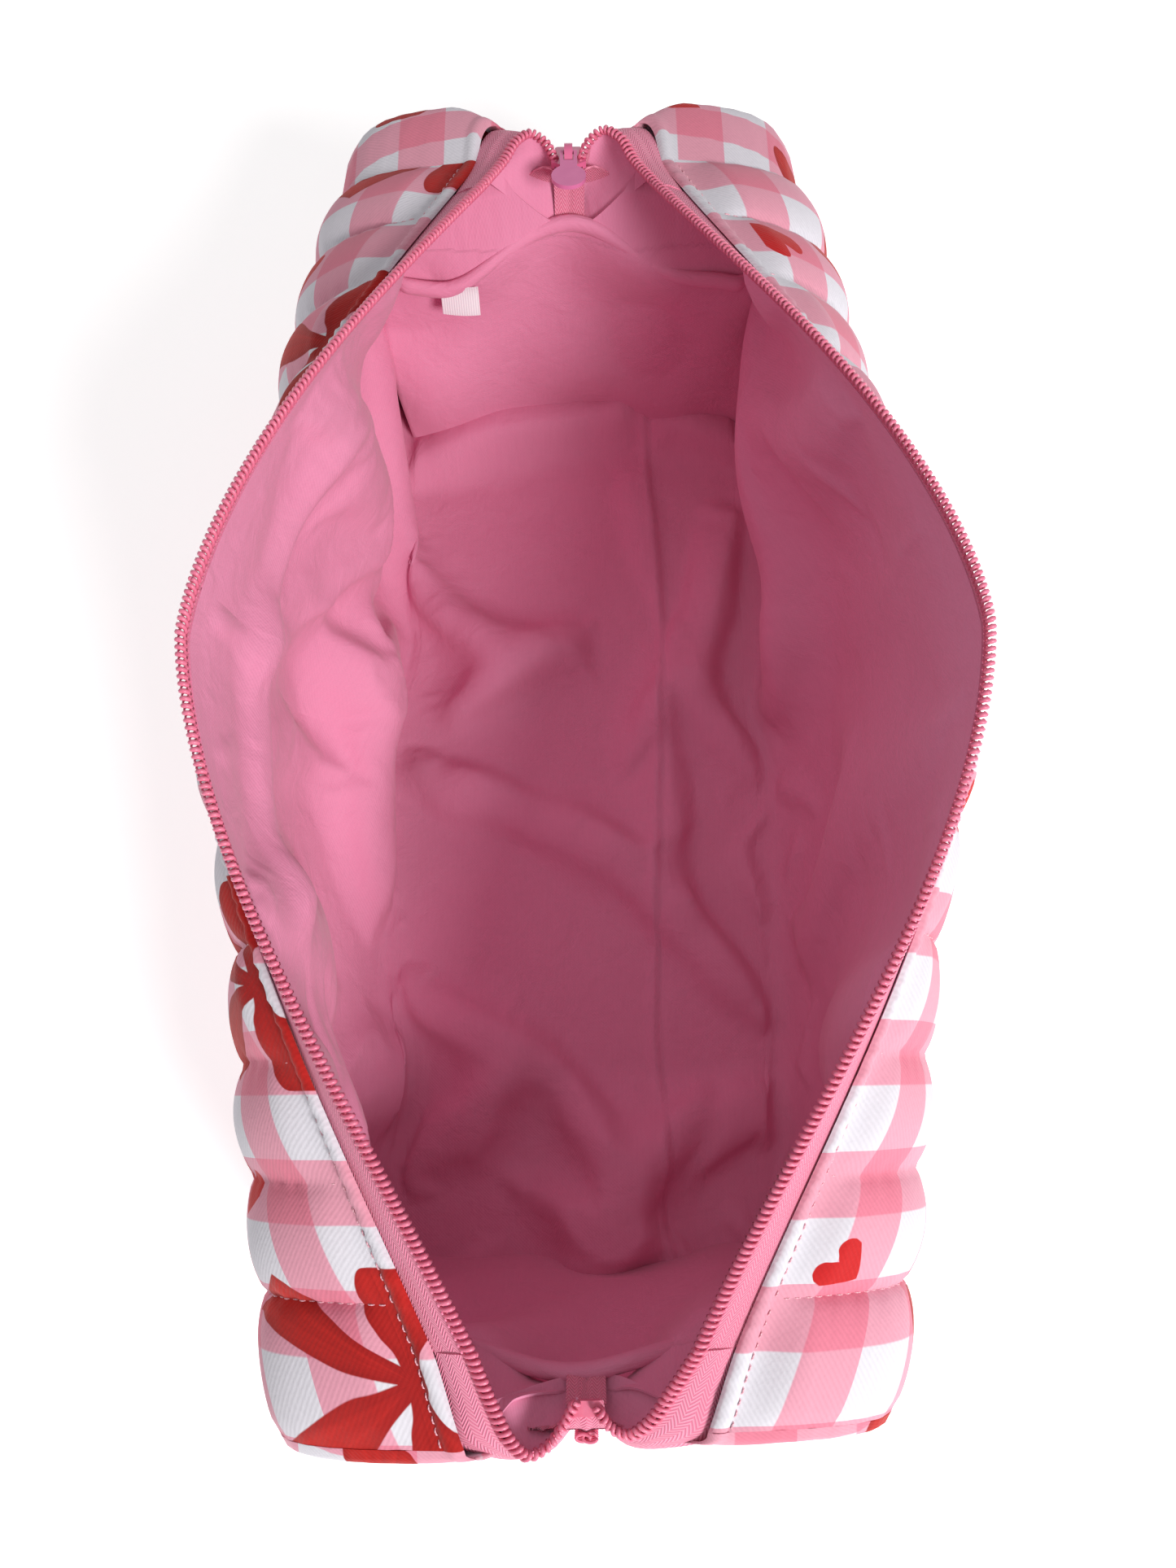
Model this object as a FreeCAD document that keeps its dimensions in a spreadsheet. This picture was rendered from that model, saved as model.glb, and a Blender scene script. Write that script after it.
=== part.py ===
"""Quilted makeup bag, standing on its base with the zip undone and the mouth held open.

Row frame, in millimetres: +Y runs along the zip from the closed end of the mouth to the end where the
slider parks, +X is to the right and +Z up. The origin is the middle of the bag's footprint.

Each long side is quilted in channels that run from the base to the zip. A channel keeps its section and
leans about the fold along the base edge, so every channel is a solid of its own. The printed cloth, the
lining, the zip tape and the zip coil are one continuous piece a side.
"""

import FreeCAD, Part
import math
import os

from FreeCAD import Rotation, Vector

DIMENSIONS = [
    # alias, value in mm or degrees, what it is
    ("channel_pitch", 23.6, "distance between quilting seams"),
    ("channel_gap", 0.3, "air between neighbouring channels"),
    ("wadding_thick", 6.0, "thickness of the wadding"),
    ("print_thick", 0.6, "thickness of the printed twill"),
    ("lining_thick", 0.5, "thickness of the lining cloth"),
    ("cloth_gap", 0.3, "air between the wadding and each cloth"),
    ("fold_half_width", 64.0, "from the middle to the fold along the base edge"),
    ("fold_height", 3.9, "height of that fold"),
    ("base_half_width", 60.0, "half the width of the base panel"),
    ("mouth_height", 150.0, "height of the coil in the middle of the open mouth"),
    ("mouth_half_width", 80.5, "half the width of the open mouth"),
    ("mouth_drop", 32.0, "how much nearer the base fold the coil is at the bag's ends"),
    ("end_seam_height", 88.0, "height of the seam across each end panel"),
    ("notch_half_width", 13.5, "half the gap for the zip in each end panel"),
    ("tape_width", 13.0, "cloth edge to coil"),
    ("tape_thick", 0.7, "thickness of the zip tape"),
    ("coil_radius", 1.6, "half the height of the zip coil"),
    ("chain_width", 5.8, "width of the closed chain"),
    ("chain_thick", 2.4, "thickness of the closed chain"),
    ("binding_length", 84.0, "length of the bound seam inside each end"),
    ("binding_height", 12.0, "width of that seam"),
    ("binding_thick", 1.2, "thickness of that seam"),
    ("label_width", 20.0, "width of the blank care label"),
    ("label_height", 17.0, "height of the blank care label"),
    ("label_thick", 0.4, "thickness of the blank care label"),
    ("slider_length", 11.0, "length of the slider"),
    ("slider_width", 9.4, "width of the slider's nose"),
    ("slider_thick", 4.4, "height of the slider's two plates"),
    ("slider_parked", 156.5, "middle of the slider along the zip"),
    ("slider_height", 103.5, "height of the slider's mid plane"),
    ("ridge_height", 136.7, "height of the coil in the middle of the shut mouth"),
    ("crown_radius", 3.6, "outer radius of the slider's crown"),
    ("crown_bar", 1.2, "thickness of the crown"),
    ("crown_width", 2.2, "width of the crown"),
    ("pull_pin_radius", 0.55, "radius of the pull's pin"),
    ("pull_thick", 1.1, "thickness of the pull"),
    ("pull_disc_radius", 4.6, "radius of the pull's round end"),
    ("pull_length", 11.0, "pin to the middle of the round end"),
    ("pull_droop", 10.0, "how far the pull leans over the slider's nose"),
    ("pull_pin_height", 1.55, "pin above the slider's upper plate"),
    ("stop_length", 3.0, "length of the stop at the closed end of the zip"),
]
CHANNELS = 13                 # quilting channels along each side, so that one is in the middle
FOLD_REACH = 235.0            # distance from the middle at which a side would no longer move
CLOSED_HALF_GAP = 1.0         # coil to the middle plane when the mouth is shut
SIDES = {"left": -1, "right": 1}

doc = FreeCAD.newDocument("makeup_bag")
sheet = doc.addObject("Spreadsheet::Sheet", "Dimensions")
for row, (alias, value, note) in enumerate(DIMENSIONS, start=1):
    sheet.set(f"A{row}", alias)
    sheet.set(f"B{row}", str(value))
    sheet.set(f"C{row}", note)
    sheet.setAlias(f"B{row}", alias)
doc.recompute()
size = {alias: float(sheet.get(alias)) for alias, _, _ in DIMENSIONS}
half_body = CHANNELS * size["channel_pitch"] / 2
parts = {}


def keep(name, thing):
    """Registers an object of the document as the sub-part of that name."""
    thing.Label = name
    parts[name] = thing
    return thing


# ---------------------------------------------------------------- the side's section

def smooth_step(t):
    t = max(0.0, min(1.0, t))
    return t * t * (3 - 2 * t)


def fold_share(y):
    """How far the side at y folds, as a share of the middle channel's fold."""
    return smooth_step(1 - abs(y) / FOLD_REACH)


def coil_radius_about_fold(y):
    """Distance from the base fold to the coil at y."""
    middle = math.hypot(size["mouth_half_width"] - size["fold_half_width"],
                        size["mouth_height"] - size["fold_height"])
    return middle - size["mouth_drop"] * abs(y / half_body) ** 1.25


def lean_when_shut(radius):
    """Angle of the coil from upright, seen from the base fold, with the mouth shut."""
    return -math.asin((size["fold_half_width"] - CLOSED_HALF_GAP) / radius)


def full_fold():
    """How far the middle channel turns to shut the mouth, in radians."""
    rest = math.atan2(size["mouth_half_width"] - size["fold_half_width"],
                      size["mouth_height"] - size["fold_height"])
    return rest - lean_when_shut(coil_radius_about_fold(0))


def coil_at(y):
    """(x, z) of the coil on the right-hand side, with the mouth open."""
    radius = coil_radius_about_fold(y)
    lean = lean_when_shut(radius) + full_fold() * fold_share(y)
    return (size["fold_half_width"] + radius * math.sin(lean),
            size["fold_height"] + radius * math.cos(lean))


def towards(start, end, distance):
    """The point at a distance from start on the way to end."""
    length = math.dist(start, end)
    return tuple(a + (b - a) * distance / length for a, b in zip(start, end))


def side_line(y):
    """The middle line of the side's wadding at y, from the base fold to the cloth's edge."""
    middle = [(77.0, 34.0), (85.0, 72.0), (85.0, 108.0)]
    end = [(67.0, 34.0), (68.5, 68.0), (62.0, 101.0)]
    taper = abs(y / half_body) ** 3
    belly = [(a[0] + (b[0] - a[0]) * taper, a[1] + (b[1] - a[1]) * taper) for a, b in zip(middle, end)]
    edge = towards(coil_at(y), belly[-1], size["tape_width"])
    return [(size["fold_half_width"], size["fold_height"]), *belly, edge]


def offset(line, distance):
    """A line moved sideways, away from the bag's middle where the distance is positive."""
    normals = []
    for a, b in zip(line, line[1:]):
        length = math.dist(a, b)
        normals.append(((b[1] - a[1]) / length, -(b[0] - a[0]) / length))
    moved = []
    for i, point in enumerate(line):
        before = normals[max(i - 1, 0)]
        after = normals[min(i, len(normals) - 1)]
        spread = 1 + before[0] * after[0] + before[1] * after[1]
        moved.append(tuple(point[k] + distance * (before[k] + after[k]) / spread for k in (0, 1)))
    return moved


def band(line_in, line_out):
    """The closed outline between two lines."""
    return line_in + line_out[::-1]


def wadding_outline(y):
    half = size["wadding_thick"] / 2
    return band(offset(side_line(y), -half), offset(side_line(y), half))


def print_outline(y):
    """The printed cloth, which runs under the base fold to meet the base panel."""
    near = size["wadding_thick"] / 2 + size["cloth_gap"]
    far = near + size["print_thick"]
    tuck = [(size["base_half_width"], size["print_thick"]), (65.1, size["print_thick"])]
    under = [(size["base_half_width"], 0.0), (65.4, 0.0)]
    return band(tuck + offset(side_line(y), near), under + offset(side_line(y), far))


def lining_outline(y):
    near = size["wadding_thick"] / 2 + size["cloth_gap"]
    far = near + size["lining_thick"]
    return band(offset(side_line(y), -far), offset(side_line(y), -near))


def tape_outline(y):
    """The zip tape, from just clear of the cloth's edge to just clear of the coil."""
    coil, edge = coil_at(y), side_line(y)[-1]
    line = [towards(edge, coil, size["cloth_gap"]), towards(coil, edge, size["coil_radius"] + 0.5)]
    half = size["tape_thick"] / 2
    return band(offset(line, -half), offset(line, half))


def ruled_solid(outline, stations, side):
    """A solid ruled between the outlines at each station along the bag."""
    wires = []
    for y in stations:
        points = [Vector(side * x, y, z) for x, z in outline(y)]
        wires.append(Part.makePolygon(points + points[:1]))
    solid = Part.makeLoft(wires, True, True)
    if solid.Volume < 0:
        solid.reverse()
    return solid


def shape_part(name, shape):
    thing = doc.addObject("Part::Feature", name)
    thing.Shape = shape
    return keep(name, thing)


stations = [-half_body + i * size["channel_pitch"] for i in range(CHANNELS + 1)]
for side_name, side in SIDES.items():
    for number, (start, end) in enumerate(zip(stations, stations[1:]), start=1):
        inset = size["channel_gap"] / 2
        clear = [start + inset, end - inset]
        lower, upper = wadding_outline(start), wadding_outline(end)

        def between(y, start=start, end=end, lower=lower, upper=upper):
            share = (y - start) / (end - start)
            return [tuple(a[k] + (b[k] - a[k]) * share for k in (0, 1)) for a, b in zip(lower, upper)]

        shape_part(f"{side_name}_wadding_channel_{number:02d}", ruled_solid(between, clear, side))
    shape_part(f"{side_name}_printed_side", ruled_solid(print_outline, stations, side))
    shape_part(f"{side_name}_lining_side", ruled_solid(lining_outline, stations, side))
    shape_part(f"{side_name}_zip_tape", ruled_solid(tape_outline, stations, side))


# ---------------------------------------------------------------- the zip coil

def rounded_path(points):
    """Straight runs joined by tangent arcs, each as large as its two runs allow."""
    edges, here = [], points[0]
    for a, b, c in zip(points, points[1:], points[2:]):
        back, ahead = a - b, c - b
        turn = math.pi - back.getAngle(ahead)
        run = 0.45 * min(back.Length, ahead.Length)
        back.normalize()
        ahead.normalize()
        start, end = b + back * run, b + ahead * run
        bisector = (back + ahead).normalize()
        radius = run / math.tan(turn / 2)
        centre = b + bisector * math.hypot(radius, run)
        middle = centre - bisector * radius
        edges.append(Part.LineSegment(here, start).toShape())
        edges.append(Part.Arc(start, middle, end).toShape())
        here = end
    edges.append(Part.LineSegment(here, points[-1]).toShape())
    return Part.Wire(edges)


def coil_route(side):
    """The coil from the stop, along the mouth and round to the slider."""
    along = [Vector(side * coil_at(y)[0], y, coil_at(y)[1]) for y in stations[1:-1]]
    far_hook = [(15.0, 147.0, 110.6), (10.8, 151.3, 110.2), (7.0, 147.4, 108.6)]
    near_hook = [(2.6, -149.0, 104.5), (6.0, -151.4, 107.0), (10.5, -151.3, 110.2), (15.0, -147.0, 110.6)]
    route = [Vector(side * x, y, z) for x, y, z in near_hook]
    return route + along + [Vector(side * x, y, z) for x, y, z in far_hook]


for side_name, side in SIDES.items():
    path = rounded_path(coil_route(side))
    start = path.Vertexes[0].Point
    tangent = path.Edges[0].tangentAt(path.Edges[0].FirstParameter)
    ring = Part.Wire([Part.Circle(start, tangent, size["coil_radius"]).toShape()])
    shape_part(f"{side_name}_zip_coil", path.makePipeShell([ring], True, True))


# ---------------------------------------------------------------- base and end panels

def bound_box(name, corner, **lengths):
    """A Part box whose three lengths follow the sheet."""
    box = doc.addObject("Part::Box", name)
    for edge, formula in lengths.items():
        box.setExpression(edge, formula)
    doc.recompute()
    box.Placement.Base = Vector(*corner)
    return keep(name, box)


base_length = f"Dimensions.channel_pitch * {CHANNELS}"
base_width = "Dimensions.base_half_width * 2"
base_corner = (-size["base_half_width"], -half_body)
level = 0.0
for node, thickness in (("base_printed_panel", "print_thick"), ("base_wadding", "wadding_thick"),
                        ("base_lining", "lining_thick")):
    bound_box(node, (*base_corner, level), Length=base_width, Width=base_length,
              Height=f"Dimensions.{thickness}")
    level += size[thickness]


def plane(body, role):
    """One of a body's own origin planes."""
    return next(f for f in body.Origin.OriginFeatures if f.Role == role)


def sketch_on(body, role, loops, name):
    """A sketch of closed polygons on an origin plane of the body."""
    sketch = body.newObject("Sketcher::SketchObject", name)
    sketch.AttachmentSupport = [(plane(body, role), "")]
    sketch.MapMode = "FlatFace"
    for loop in loops:
        for a, b in zip(loop, loop[1:] + loop[:1]):
            sketch.addGeometry(Part.LineSegment(Vector(*a, 0), Vector(*b, 0)), False)
    return sketch


def end_outline():
    """An end panel's outline with the gap for the zip in its top edge."""
    right = offset(side_line(half_body), size["wadding_thick"] / 2)[1:]
    notch, seam = size["notch_half_width"], size["end_seam_height"]
    top = right[-1][1]
    right = [(60.0, 0.6), (66.5, 4.0), *right[:-1], (notch, top), (notch, seam)]
    return right + [(-x, z) for x, z in reversed(right)]


clear_of_sides = half_body + size["channel_gap"] / 2
layers = (("lining", "lining_thick"), ("wadding", "wadding_thick"), ("printed_panel", "print_thick"))
for end_name, sign in (("far_end", 1), ("near_end", -1)):
    depth = clear_of_sides
    for layer, thickness in layers:
        body = doc.addObject("PartDesign::Body", f"{end_name}_{layer}")
        outline = sketch_on(body, "XZ_Plane", [end_outline()], f"{end_name}_{layer}_outline")
        pad = body.newObject("PartDesign::Pad", f"{end_name}_{layer}_pad")
        pad.Profile = outline
        pad.setExpression("Length", f"Dimensions.{thickness}")
        pad.Reversed = sign > 0
        body.Placement.Base = Vector(0, sign * depth, 0)
        keep(f"{end_name}_{layer}", body)
        depth += size[thickness]


# ---------------------------------------------------------------- seams, label and zip ends

seam_bottom = size["end_seam_height"] - size["binding_height"] / 2
for end_name, sign in (("far_end", 1), ("near_end", -1)):
    front = half_body if sign > 0 else -half_body + size["binding_thick"]
    bound_box(f"{end_name}_seam_binding", (-size["binding_length"] / 2, front - size["binding_thick"], seam_bottom),
              Length="Dimensions.binding_length", Width="Dimensions.binding_thick",
              Height="Dimensions.binding_height")

bound_box("care_label", (-42.0, half_body - size["label_thick"], seam_bottom - size["label_height"]),
          Length="Dimensions.label_width", Width="Dimensions.label_thick", Height="Dimensions.label_height")


def closed_chain(name, middle_y, top):
    """The closed end of the zip, tape and chain, let into an end panel's gap."""
    tape = doc.addObject("Part::Box", f"{name}_tape")
    tape.setExpression("Length", "Dimensions.notch_half_width * 2 - 1")
    tape.setExpression("Width", "Dimensions.tape_thick")
    chain = doc.addObject("Part::Box", f"{name}_chain")
    chain.setExpression("Length", "Dimensions.chain_width")
    chain.setExpression("Width", "Dimensions.chain_thick")
    for box, thickness in ((tape, size["tape_thick"]), (chain, size["chain_thick"])):
        box.setExpression("Height", f"{top} - Dimensions.end_seam_height")
        doc.recompute()
        corner = (-float(box.Length) / 2, middle_y - thickness / 2, size["end_seam_height"])
        box.Placement.Base = Vector(*corner)
    fused = doc.addObject("Part::Fuse", name)
    fused.Base, fused.Tool = tape, chain
    return keep(name, fused)


closed_chain("far_chain_end", 158.6, 99.0)
closed_chain("near_chain_end", -157.0, 102.0)
bound_box("zip_stop", (-size["chain_width"] / 2, -150.2 - size["stop_length"], 102.0),
          Length="Dimensions.chain_width", Width="Dimensions.stop_length",
          Height="Dimensions.coil_radius")


# ---------------------------------------------------------------- slider

sagitta = size["ridge_height"] - size["slider_height"]
ridge_radius = (size["slider_parked"] ** 2 + sagitta ** 2) / (2 * sagitta)
slider_tilt = math.degrees(math.asin(size["slider_parked"] / ridge_radius))


def place_on_slider(thing):
    """Stands a piece that is drawn about the slider's middle, nose towards -Y, at the far end."""
    spot = Vector(0, size["slider_parked"], size["slider_height"])
    thing.Placement = FreeCAD.Placement(spot, Rotation(Vector(1, 0, 0), -slider_tilt))


def slider_outline(nose, waist, tail, length):
    """Half widths at the nose, the waist and the tail, mirrored about the slider's axis."""
    half = length / 2
    right = [(nose * 0.55, -half), (nose, -half + 1.6), (nose, -half + 3.4), (waist, half - 3.6),
             (tail, half - 0.6), (tail - 0.6, half)]
    return right + [(-x, y) for x, y in reversed(right)]


slider = doc.addObject("PartDesign::Body", "slider_body")
nose_half = size["slider_width"] / 2
blank = slider.newObject("PartDesign::Pad", "slider_blank")
blank.Profile = sketch_on(slider, "XY_Plane", [slider_outline(nose_half, 3.9, 3.7, size["slider_length"])],
                          "slider_plan")
blank.setExpression("Length", "Dimensions.slider_thick")
blank.Midplane = True
doc.recompute()
half_length = size["slider_length"] / 2
channel_right = [(nose_half - 0.9, -half_length - 1), (nose_half - 0.9, -half_length + 3.2),
                 (2.95, half_length - 3.6), (2.95, half_length + 1)]
channel_plan = channel_right + [(-x, y) for x, y in reversed(channel_right)]
post_plan = [(0.0, -0.6), (1.5, -3.6), (1.2, -half_length - 1.4), (-1.2, -half_length - 1.4), (-1.5, -3.6)]
channel = slider.newObject("PartDesign::Pocket", "slider_channel")
channel.Profile = sketch_on(slider, "XY_Plane", [channel_plan, post_plan], "slider_channel_plan")
channel.Length = 2.2
channel.Midplane = True
doc.recompute()
slot_plans = [[(side * 2.9, -9.0), (side * 9.0, -9.0), (side * 9.0, 9.0), (side * 2.9, 9.0)]
              for side in SIDES.values()]
slots = slider.newObject("PartDesign::Pocket", "slider_tape_slots")
slots.Profile = sketch_on(slider, "XY_Plane", slot_plans, "slider_slot_plan")
slots.Length = 1.0
slots.Midplane = True
doc.recompute()
place_on_slider(slider)
keep("slider_body", slider)

crown = doc.addObject("Part::Cut", "slider_crown")
arch = doc.addObject("Part::Cylinder", "crown_arch")
window = doc.addObject("Part::Cylinder", "crown_window")
for thing, radius in ((arch, "crown_radius"), (window, "crown_radius - Dimensions.crown_bar")):
    thing.setExpression("Radius", f"Dimensions.{radius}")
    thing.setExpression("Height", "Dimensions.crown_width")
    thing.Angle = 180
    thing.Placement = FreeCAD.Placement(Vector(-size["crown_width"] / 2, -1.8, size["slider_thick"] / 2),
                                        Rotation(Vector(1, 1, 1), 120))
crown.Base, crown.Tool = arch, window
place_on_slider(crown)
keep("slider_crown", crown)


# ---------------------------------------------------------------- pull

def pull_blank():
    """The pull drawn along -Y from its pin: an eye that straddles the crown, a neck and a round end."""
    thick, pin = size["pull_thick"], size["pull_pin_radius"]
    disc = Part.makeCylinder(size["pull_disc_radius"], thick, Vector(0, -size["pull_length"], -thick / 2))
    neck = Part.makeBox(4.6, 9.0, thick, Vector(-2.3, -9.0, -thick / 2))
    eye = Part.makeBox(2.8, 4.3, 3 * thick, Vector(-1.4, -4.3, -1.5 * thick))
    bar = Part.makeCylinder(pin, 4.6, Vector(-2.3, 0, 0), Vector(1, 0, 0))
    return disc.fuse([neck.cut(eye), bar]).removeSplitter()


pull = shape_part("zip_pull", pull_blank())
lean = Rotation(Vector(1, 0, 0), -slider_tilt)
pin = Vector(0, -1.8, size["slider_thick"] / 2 + size["pull_pin_height"])
pin_spot = Vector(0, size["slider_parked"], size["slider_height"]) + lean.multVec(pin)
pull.Placement = FreeCAD.Placement(pin_spot, Rotation(Vector(1, 0, 0), size["pull_droop"] - slider_tilt))


# ---------------------------------------------------------------- check and write

doc.recompute()
for thing in doc.Objects:
    if any(word in thing.State for word in ("Invalid", "Error")):
        raise RuntimeError(f"{thing.Label} failed: {thing.State}")
os.makedirs("parts", exist_ok=True)
for name, thing in parts.items():
    shape = thing.Shape
    if shape.isNull() or not shape.isValid() or shape.Volume <= 0:
        raise RuntimeError(f"{name} has no valid shape")
    shape.exportStep(f"parts/{name}.step")
print(f"{len(parts)} parts; full fold {math.degrees(full_fold()):.4f} degrees; ridge radius {ridge_radius:.3f}; "
      f"slider tilt {slider_tilt:.3f}; pin at y {pin_spot.y:.3f}, z {pin_spot.z:.3f}")
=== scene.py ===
"""Quilted makeup bag with its zip undone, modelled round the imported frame.

Lengths are in millimetres and turn to metres where a mesh or a node is made. +Y runs along the zip towards
the end where the slider parks, +X is to the right and +Z up. Side is -1 for left and 1 for right.
"""
import math

import bpy
import numpy as np
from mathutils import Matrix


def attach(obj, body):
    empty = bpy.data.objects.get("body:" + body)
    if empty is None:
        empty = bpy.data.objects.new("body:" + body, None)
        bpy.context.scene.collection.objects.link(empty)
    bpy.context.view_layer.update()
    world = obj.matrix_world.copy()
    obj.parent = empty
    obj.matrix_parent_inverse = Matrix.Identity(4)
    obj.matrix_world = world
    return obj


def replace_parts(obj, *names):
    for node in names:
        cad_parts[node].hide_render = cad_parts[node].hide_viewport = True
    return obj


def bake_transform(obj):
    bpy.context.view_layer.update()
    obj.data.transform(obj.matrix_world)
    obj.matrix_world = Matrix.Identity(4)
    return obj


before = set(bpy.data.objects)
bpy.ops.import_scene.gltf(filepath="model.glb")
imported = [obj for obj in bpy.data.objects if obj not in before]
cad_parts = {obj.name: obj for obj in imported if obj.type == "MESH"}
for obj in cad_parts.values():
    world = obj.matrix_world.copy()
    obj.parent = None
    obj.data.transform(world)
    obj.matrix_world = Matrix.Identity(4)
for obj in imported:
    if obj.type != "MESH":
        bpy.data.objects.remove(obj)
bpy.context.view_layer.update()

MM = 0.001
PITCH = 23.6                    # quilting seams
HALF = 153.4                    # half the quilted length
FOLD = (64.0, 3.9)              # base fold, x and z
MOUTH = (80.5, 150.0)           # coil in the middle of the open mouth
REACH = 235.0                   # where a side would no longer lean when the mouth shuts
DROP = 32.0                     # how much nearer the fold the coil is at the ends
END_ZONE = 129.8                # the last quilting seam before each end
END_SHARE = 0.29                # how far along the blend the corner of the bag is
COIL_PITCH = 1.5                # between teeth
RIM_TO_COIL = 8.0               # rolled cloth edge to the middle of the coil
LINING_TO_COIL = 2.6            # lining's edge to the middle of the coil
BOW = 2.5                       # how far the open mouth's middle bends to the right
GIRTH = 136.0                   # base fold to rolled edge, round a side
HOOK_Y = 139.0                  # where the last turn of the zip starts at each end
SEAM_Z = 88.0                   # height of the seam across each end
SIDES = {"left": -1, "right": 1}


# ---------------------------------------------------------------- shape of a side

def bowed(points):
    """The mouth's middle leans a little to the right."""
    points = np.array(points, float)
    lean = np.clip(1 - (points[..., 1] / HOOK_Y) ** 2, 0, 1) ** 2
    points[..., 0] += BOW * lean * smooth((points[..., 2] - 30) / 100)
    return points


def smooth(t):
    t = np.clip(t, 0, 1)
    return t * t * (3 - 2 * t)


def mix(a, b, t):
    return a + (b - a) * t


def run_along(line):
    """The distance along a line from its first point to each point."""
    return np.concatenate([[0], np.cumsum(np.linalg.norm(np.diff(line, axis=0), axis=1))])


def at_distance(line, run, places):
    """Values of a line at places along it, when run is each point's own place."""
    return np.stack([np.interp(places, run, line[:, k]) for k in range(line.shape[1])], 1)


def even_steps(line, count):
    run = run_along(line)
    return at_distance(line, run, np.linspace(0, run[-1], count))


def flat_cloth(along, around):
    """A cloth's own flat coordinates, which its print and weave follow."""
    along, around = np.broadcast_arrays(along, around)
    return np.stack([along, around, np.zeros_like(along)], -1)


def coil_at(y):
    """x and z of the coil on the right with the mouth open."""
    radius = math.dist(FOLD, MOUTH) - DROP * np.abs(y / HALF) ** 1.25
    shut = -np.arcsin((FOLD[0] - 1) / radius)
    open_lean = math.atan2(MOUTH[0] - FOLD[0], MOUTH[1] - FOLD[1])
    full = open_lean + math.asin((FOLD[0] - 1) / math.dist(FOLD, MOUTH))
    lean = shut + full * smooth(1 - np.abs(y) / REACH)
    return FOLD[0] + radius * np.sin(lean), FOLD[1] + radius * np.cos(lean)


def towards(ax, az, bx, bz, distance):
    k = distance / np.hypot(bx - ax, bz - az)
    return ax + (bx - ax) * k, az + (bz - az) * k


def side_controls(y, to_coil):
    """Control points (x, z) of a side's section at y, from the base fold to a distance from the coil."""
    taper = np.abs(y / HALF) ** 1.6
    one = np.ones_like(y)
    knots = [(FOLD[0] * one, FOLD[1] * one)]
    for middle, end in (((77.0, 34.0), (66.5, 34.0)), ((83.5, 72.0), (66.0, 68.0)), ((80.5, 108.0), (59.0, 99.0))):
        knots.append((mix(middle[0], end[0], taper), mix(middle[1], end[1], taper)))
    coil_x, coil_z = coil_at(y)
    knots.append(towards(coil_x, coil_z, *knots[-1], to_coil))
    return np.stack([np.stack(k, -1) for k in knots], -2)


KNOT_T = np.array([0.0, 0.235, 0.505, 0.765, 1.0])


def spline(a, b, slope_a, slope_b, u):
    """A cubic from a to b with the given slopes, at share u of the way."""
    return (a * (2 * u**3 - 3 * u**2 + 1) + slope_a * (u**3 - 2 * u**2 + u) + b * (3 * u**2 - 2 * u**3)
            + slope_b * (u**3 - u**2))


def side_mid(y, s, to_coil):
    """Middle line of a side at y and at share s of the way up, with its outward normal in the XZ plane."""
    y, s = np.broadcast_arrays(np.asarray(y, float), np.asarray(s, float))
    p = side_controls(y, to_coil)
    i = np.clip(np.searchsorted(KNOT_T, s, side="right") - 1, 0, 3)
    slopes = np.zeros_like(p)
    steps = np.diff(KNOT_T)
    chords = np.diff(p, axis=-2) / steps[:, None]
    w = steps[1:] / (steps[1:] + steps[:-1])
    slopes[..., 1:-1, :] = chords[..., :-1, :] * w[:, None] + chords[..., 1:, :] * (1 - w)[:, None]
    slopes[..., 0, :] = chords[..., 0, :] * 1.25 - slopes[..., 1, :] * 0.25
    slopes[..., -1, :] = chords[..., -1, :] * 1.3 - slopes[..., -2, :] * 0.3
    pick = lambda a, k: np.take_along_axis(a, (i + k)[..., None, None], -2)[..., 0, :]
    h = steps[i][..., None]
    u = ((s - KNOT_T[i])[..., None]) / h
    a, b, ma, mb = pick(p, 0), pick(p, 1), pick(slopes, 0) * h, pick(slopes, 1) * h
    place = spline(a, b, ma, mb, u)
    run = a * (6 * u**2 - 6 * u) + ma * (3 * u**2 - 4 * u + 1) + b * (6 * u - 6 * u**2) + mb * (3 * u**2 - 2 * u)
    run /= np.linalg.norm(run, axis=-1, keepdims=True) + 1e-9
    return place, np.stack([run[..., 1], -run[..., 0]], -1)


def ripple(y, s, seed, scale):
    """Slow unevenness from a few waves, roughly -1 to 1."""
    waves = np.random.default_rng(seed)
    total = 0
    for _ in range(6):
        a, b = waves.normal(0, 1, 2) / scale
        total = total + np.sin(a * y + b * s + waves.uniform(0, 6.3))
    return total / 3.5


def channel_crown(y):
    """0 on a quilting seam and 1 on a channel's crest."""
    c = np.mod(y / PITCH + 6.5, 1.0)
    return np.sin(np.pi * c) ** 0.62


def seam_distance(y):
    c = np.mod(y / PITCH + 6.5, 1.0)
    return np.minimum(c, 1 - c) * PITCH


def near_push(side):
    """How far the near end's seam is pushed out."""
    return 4.5 if side < 0 else 2.0


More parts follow.
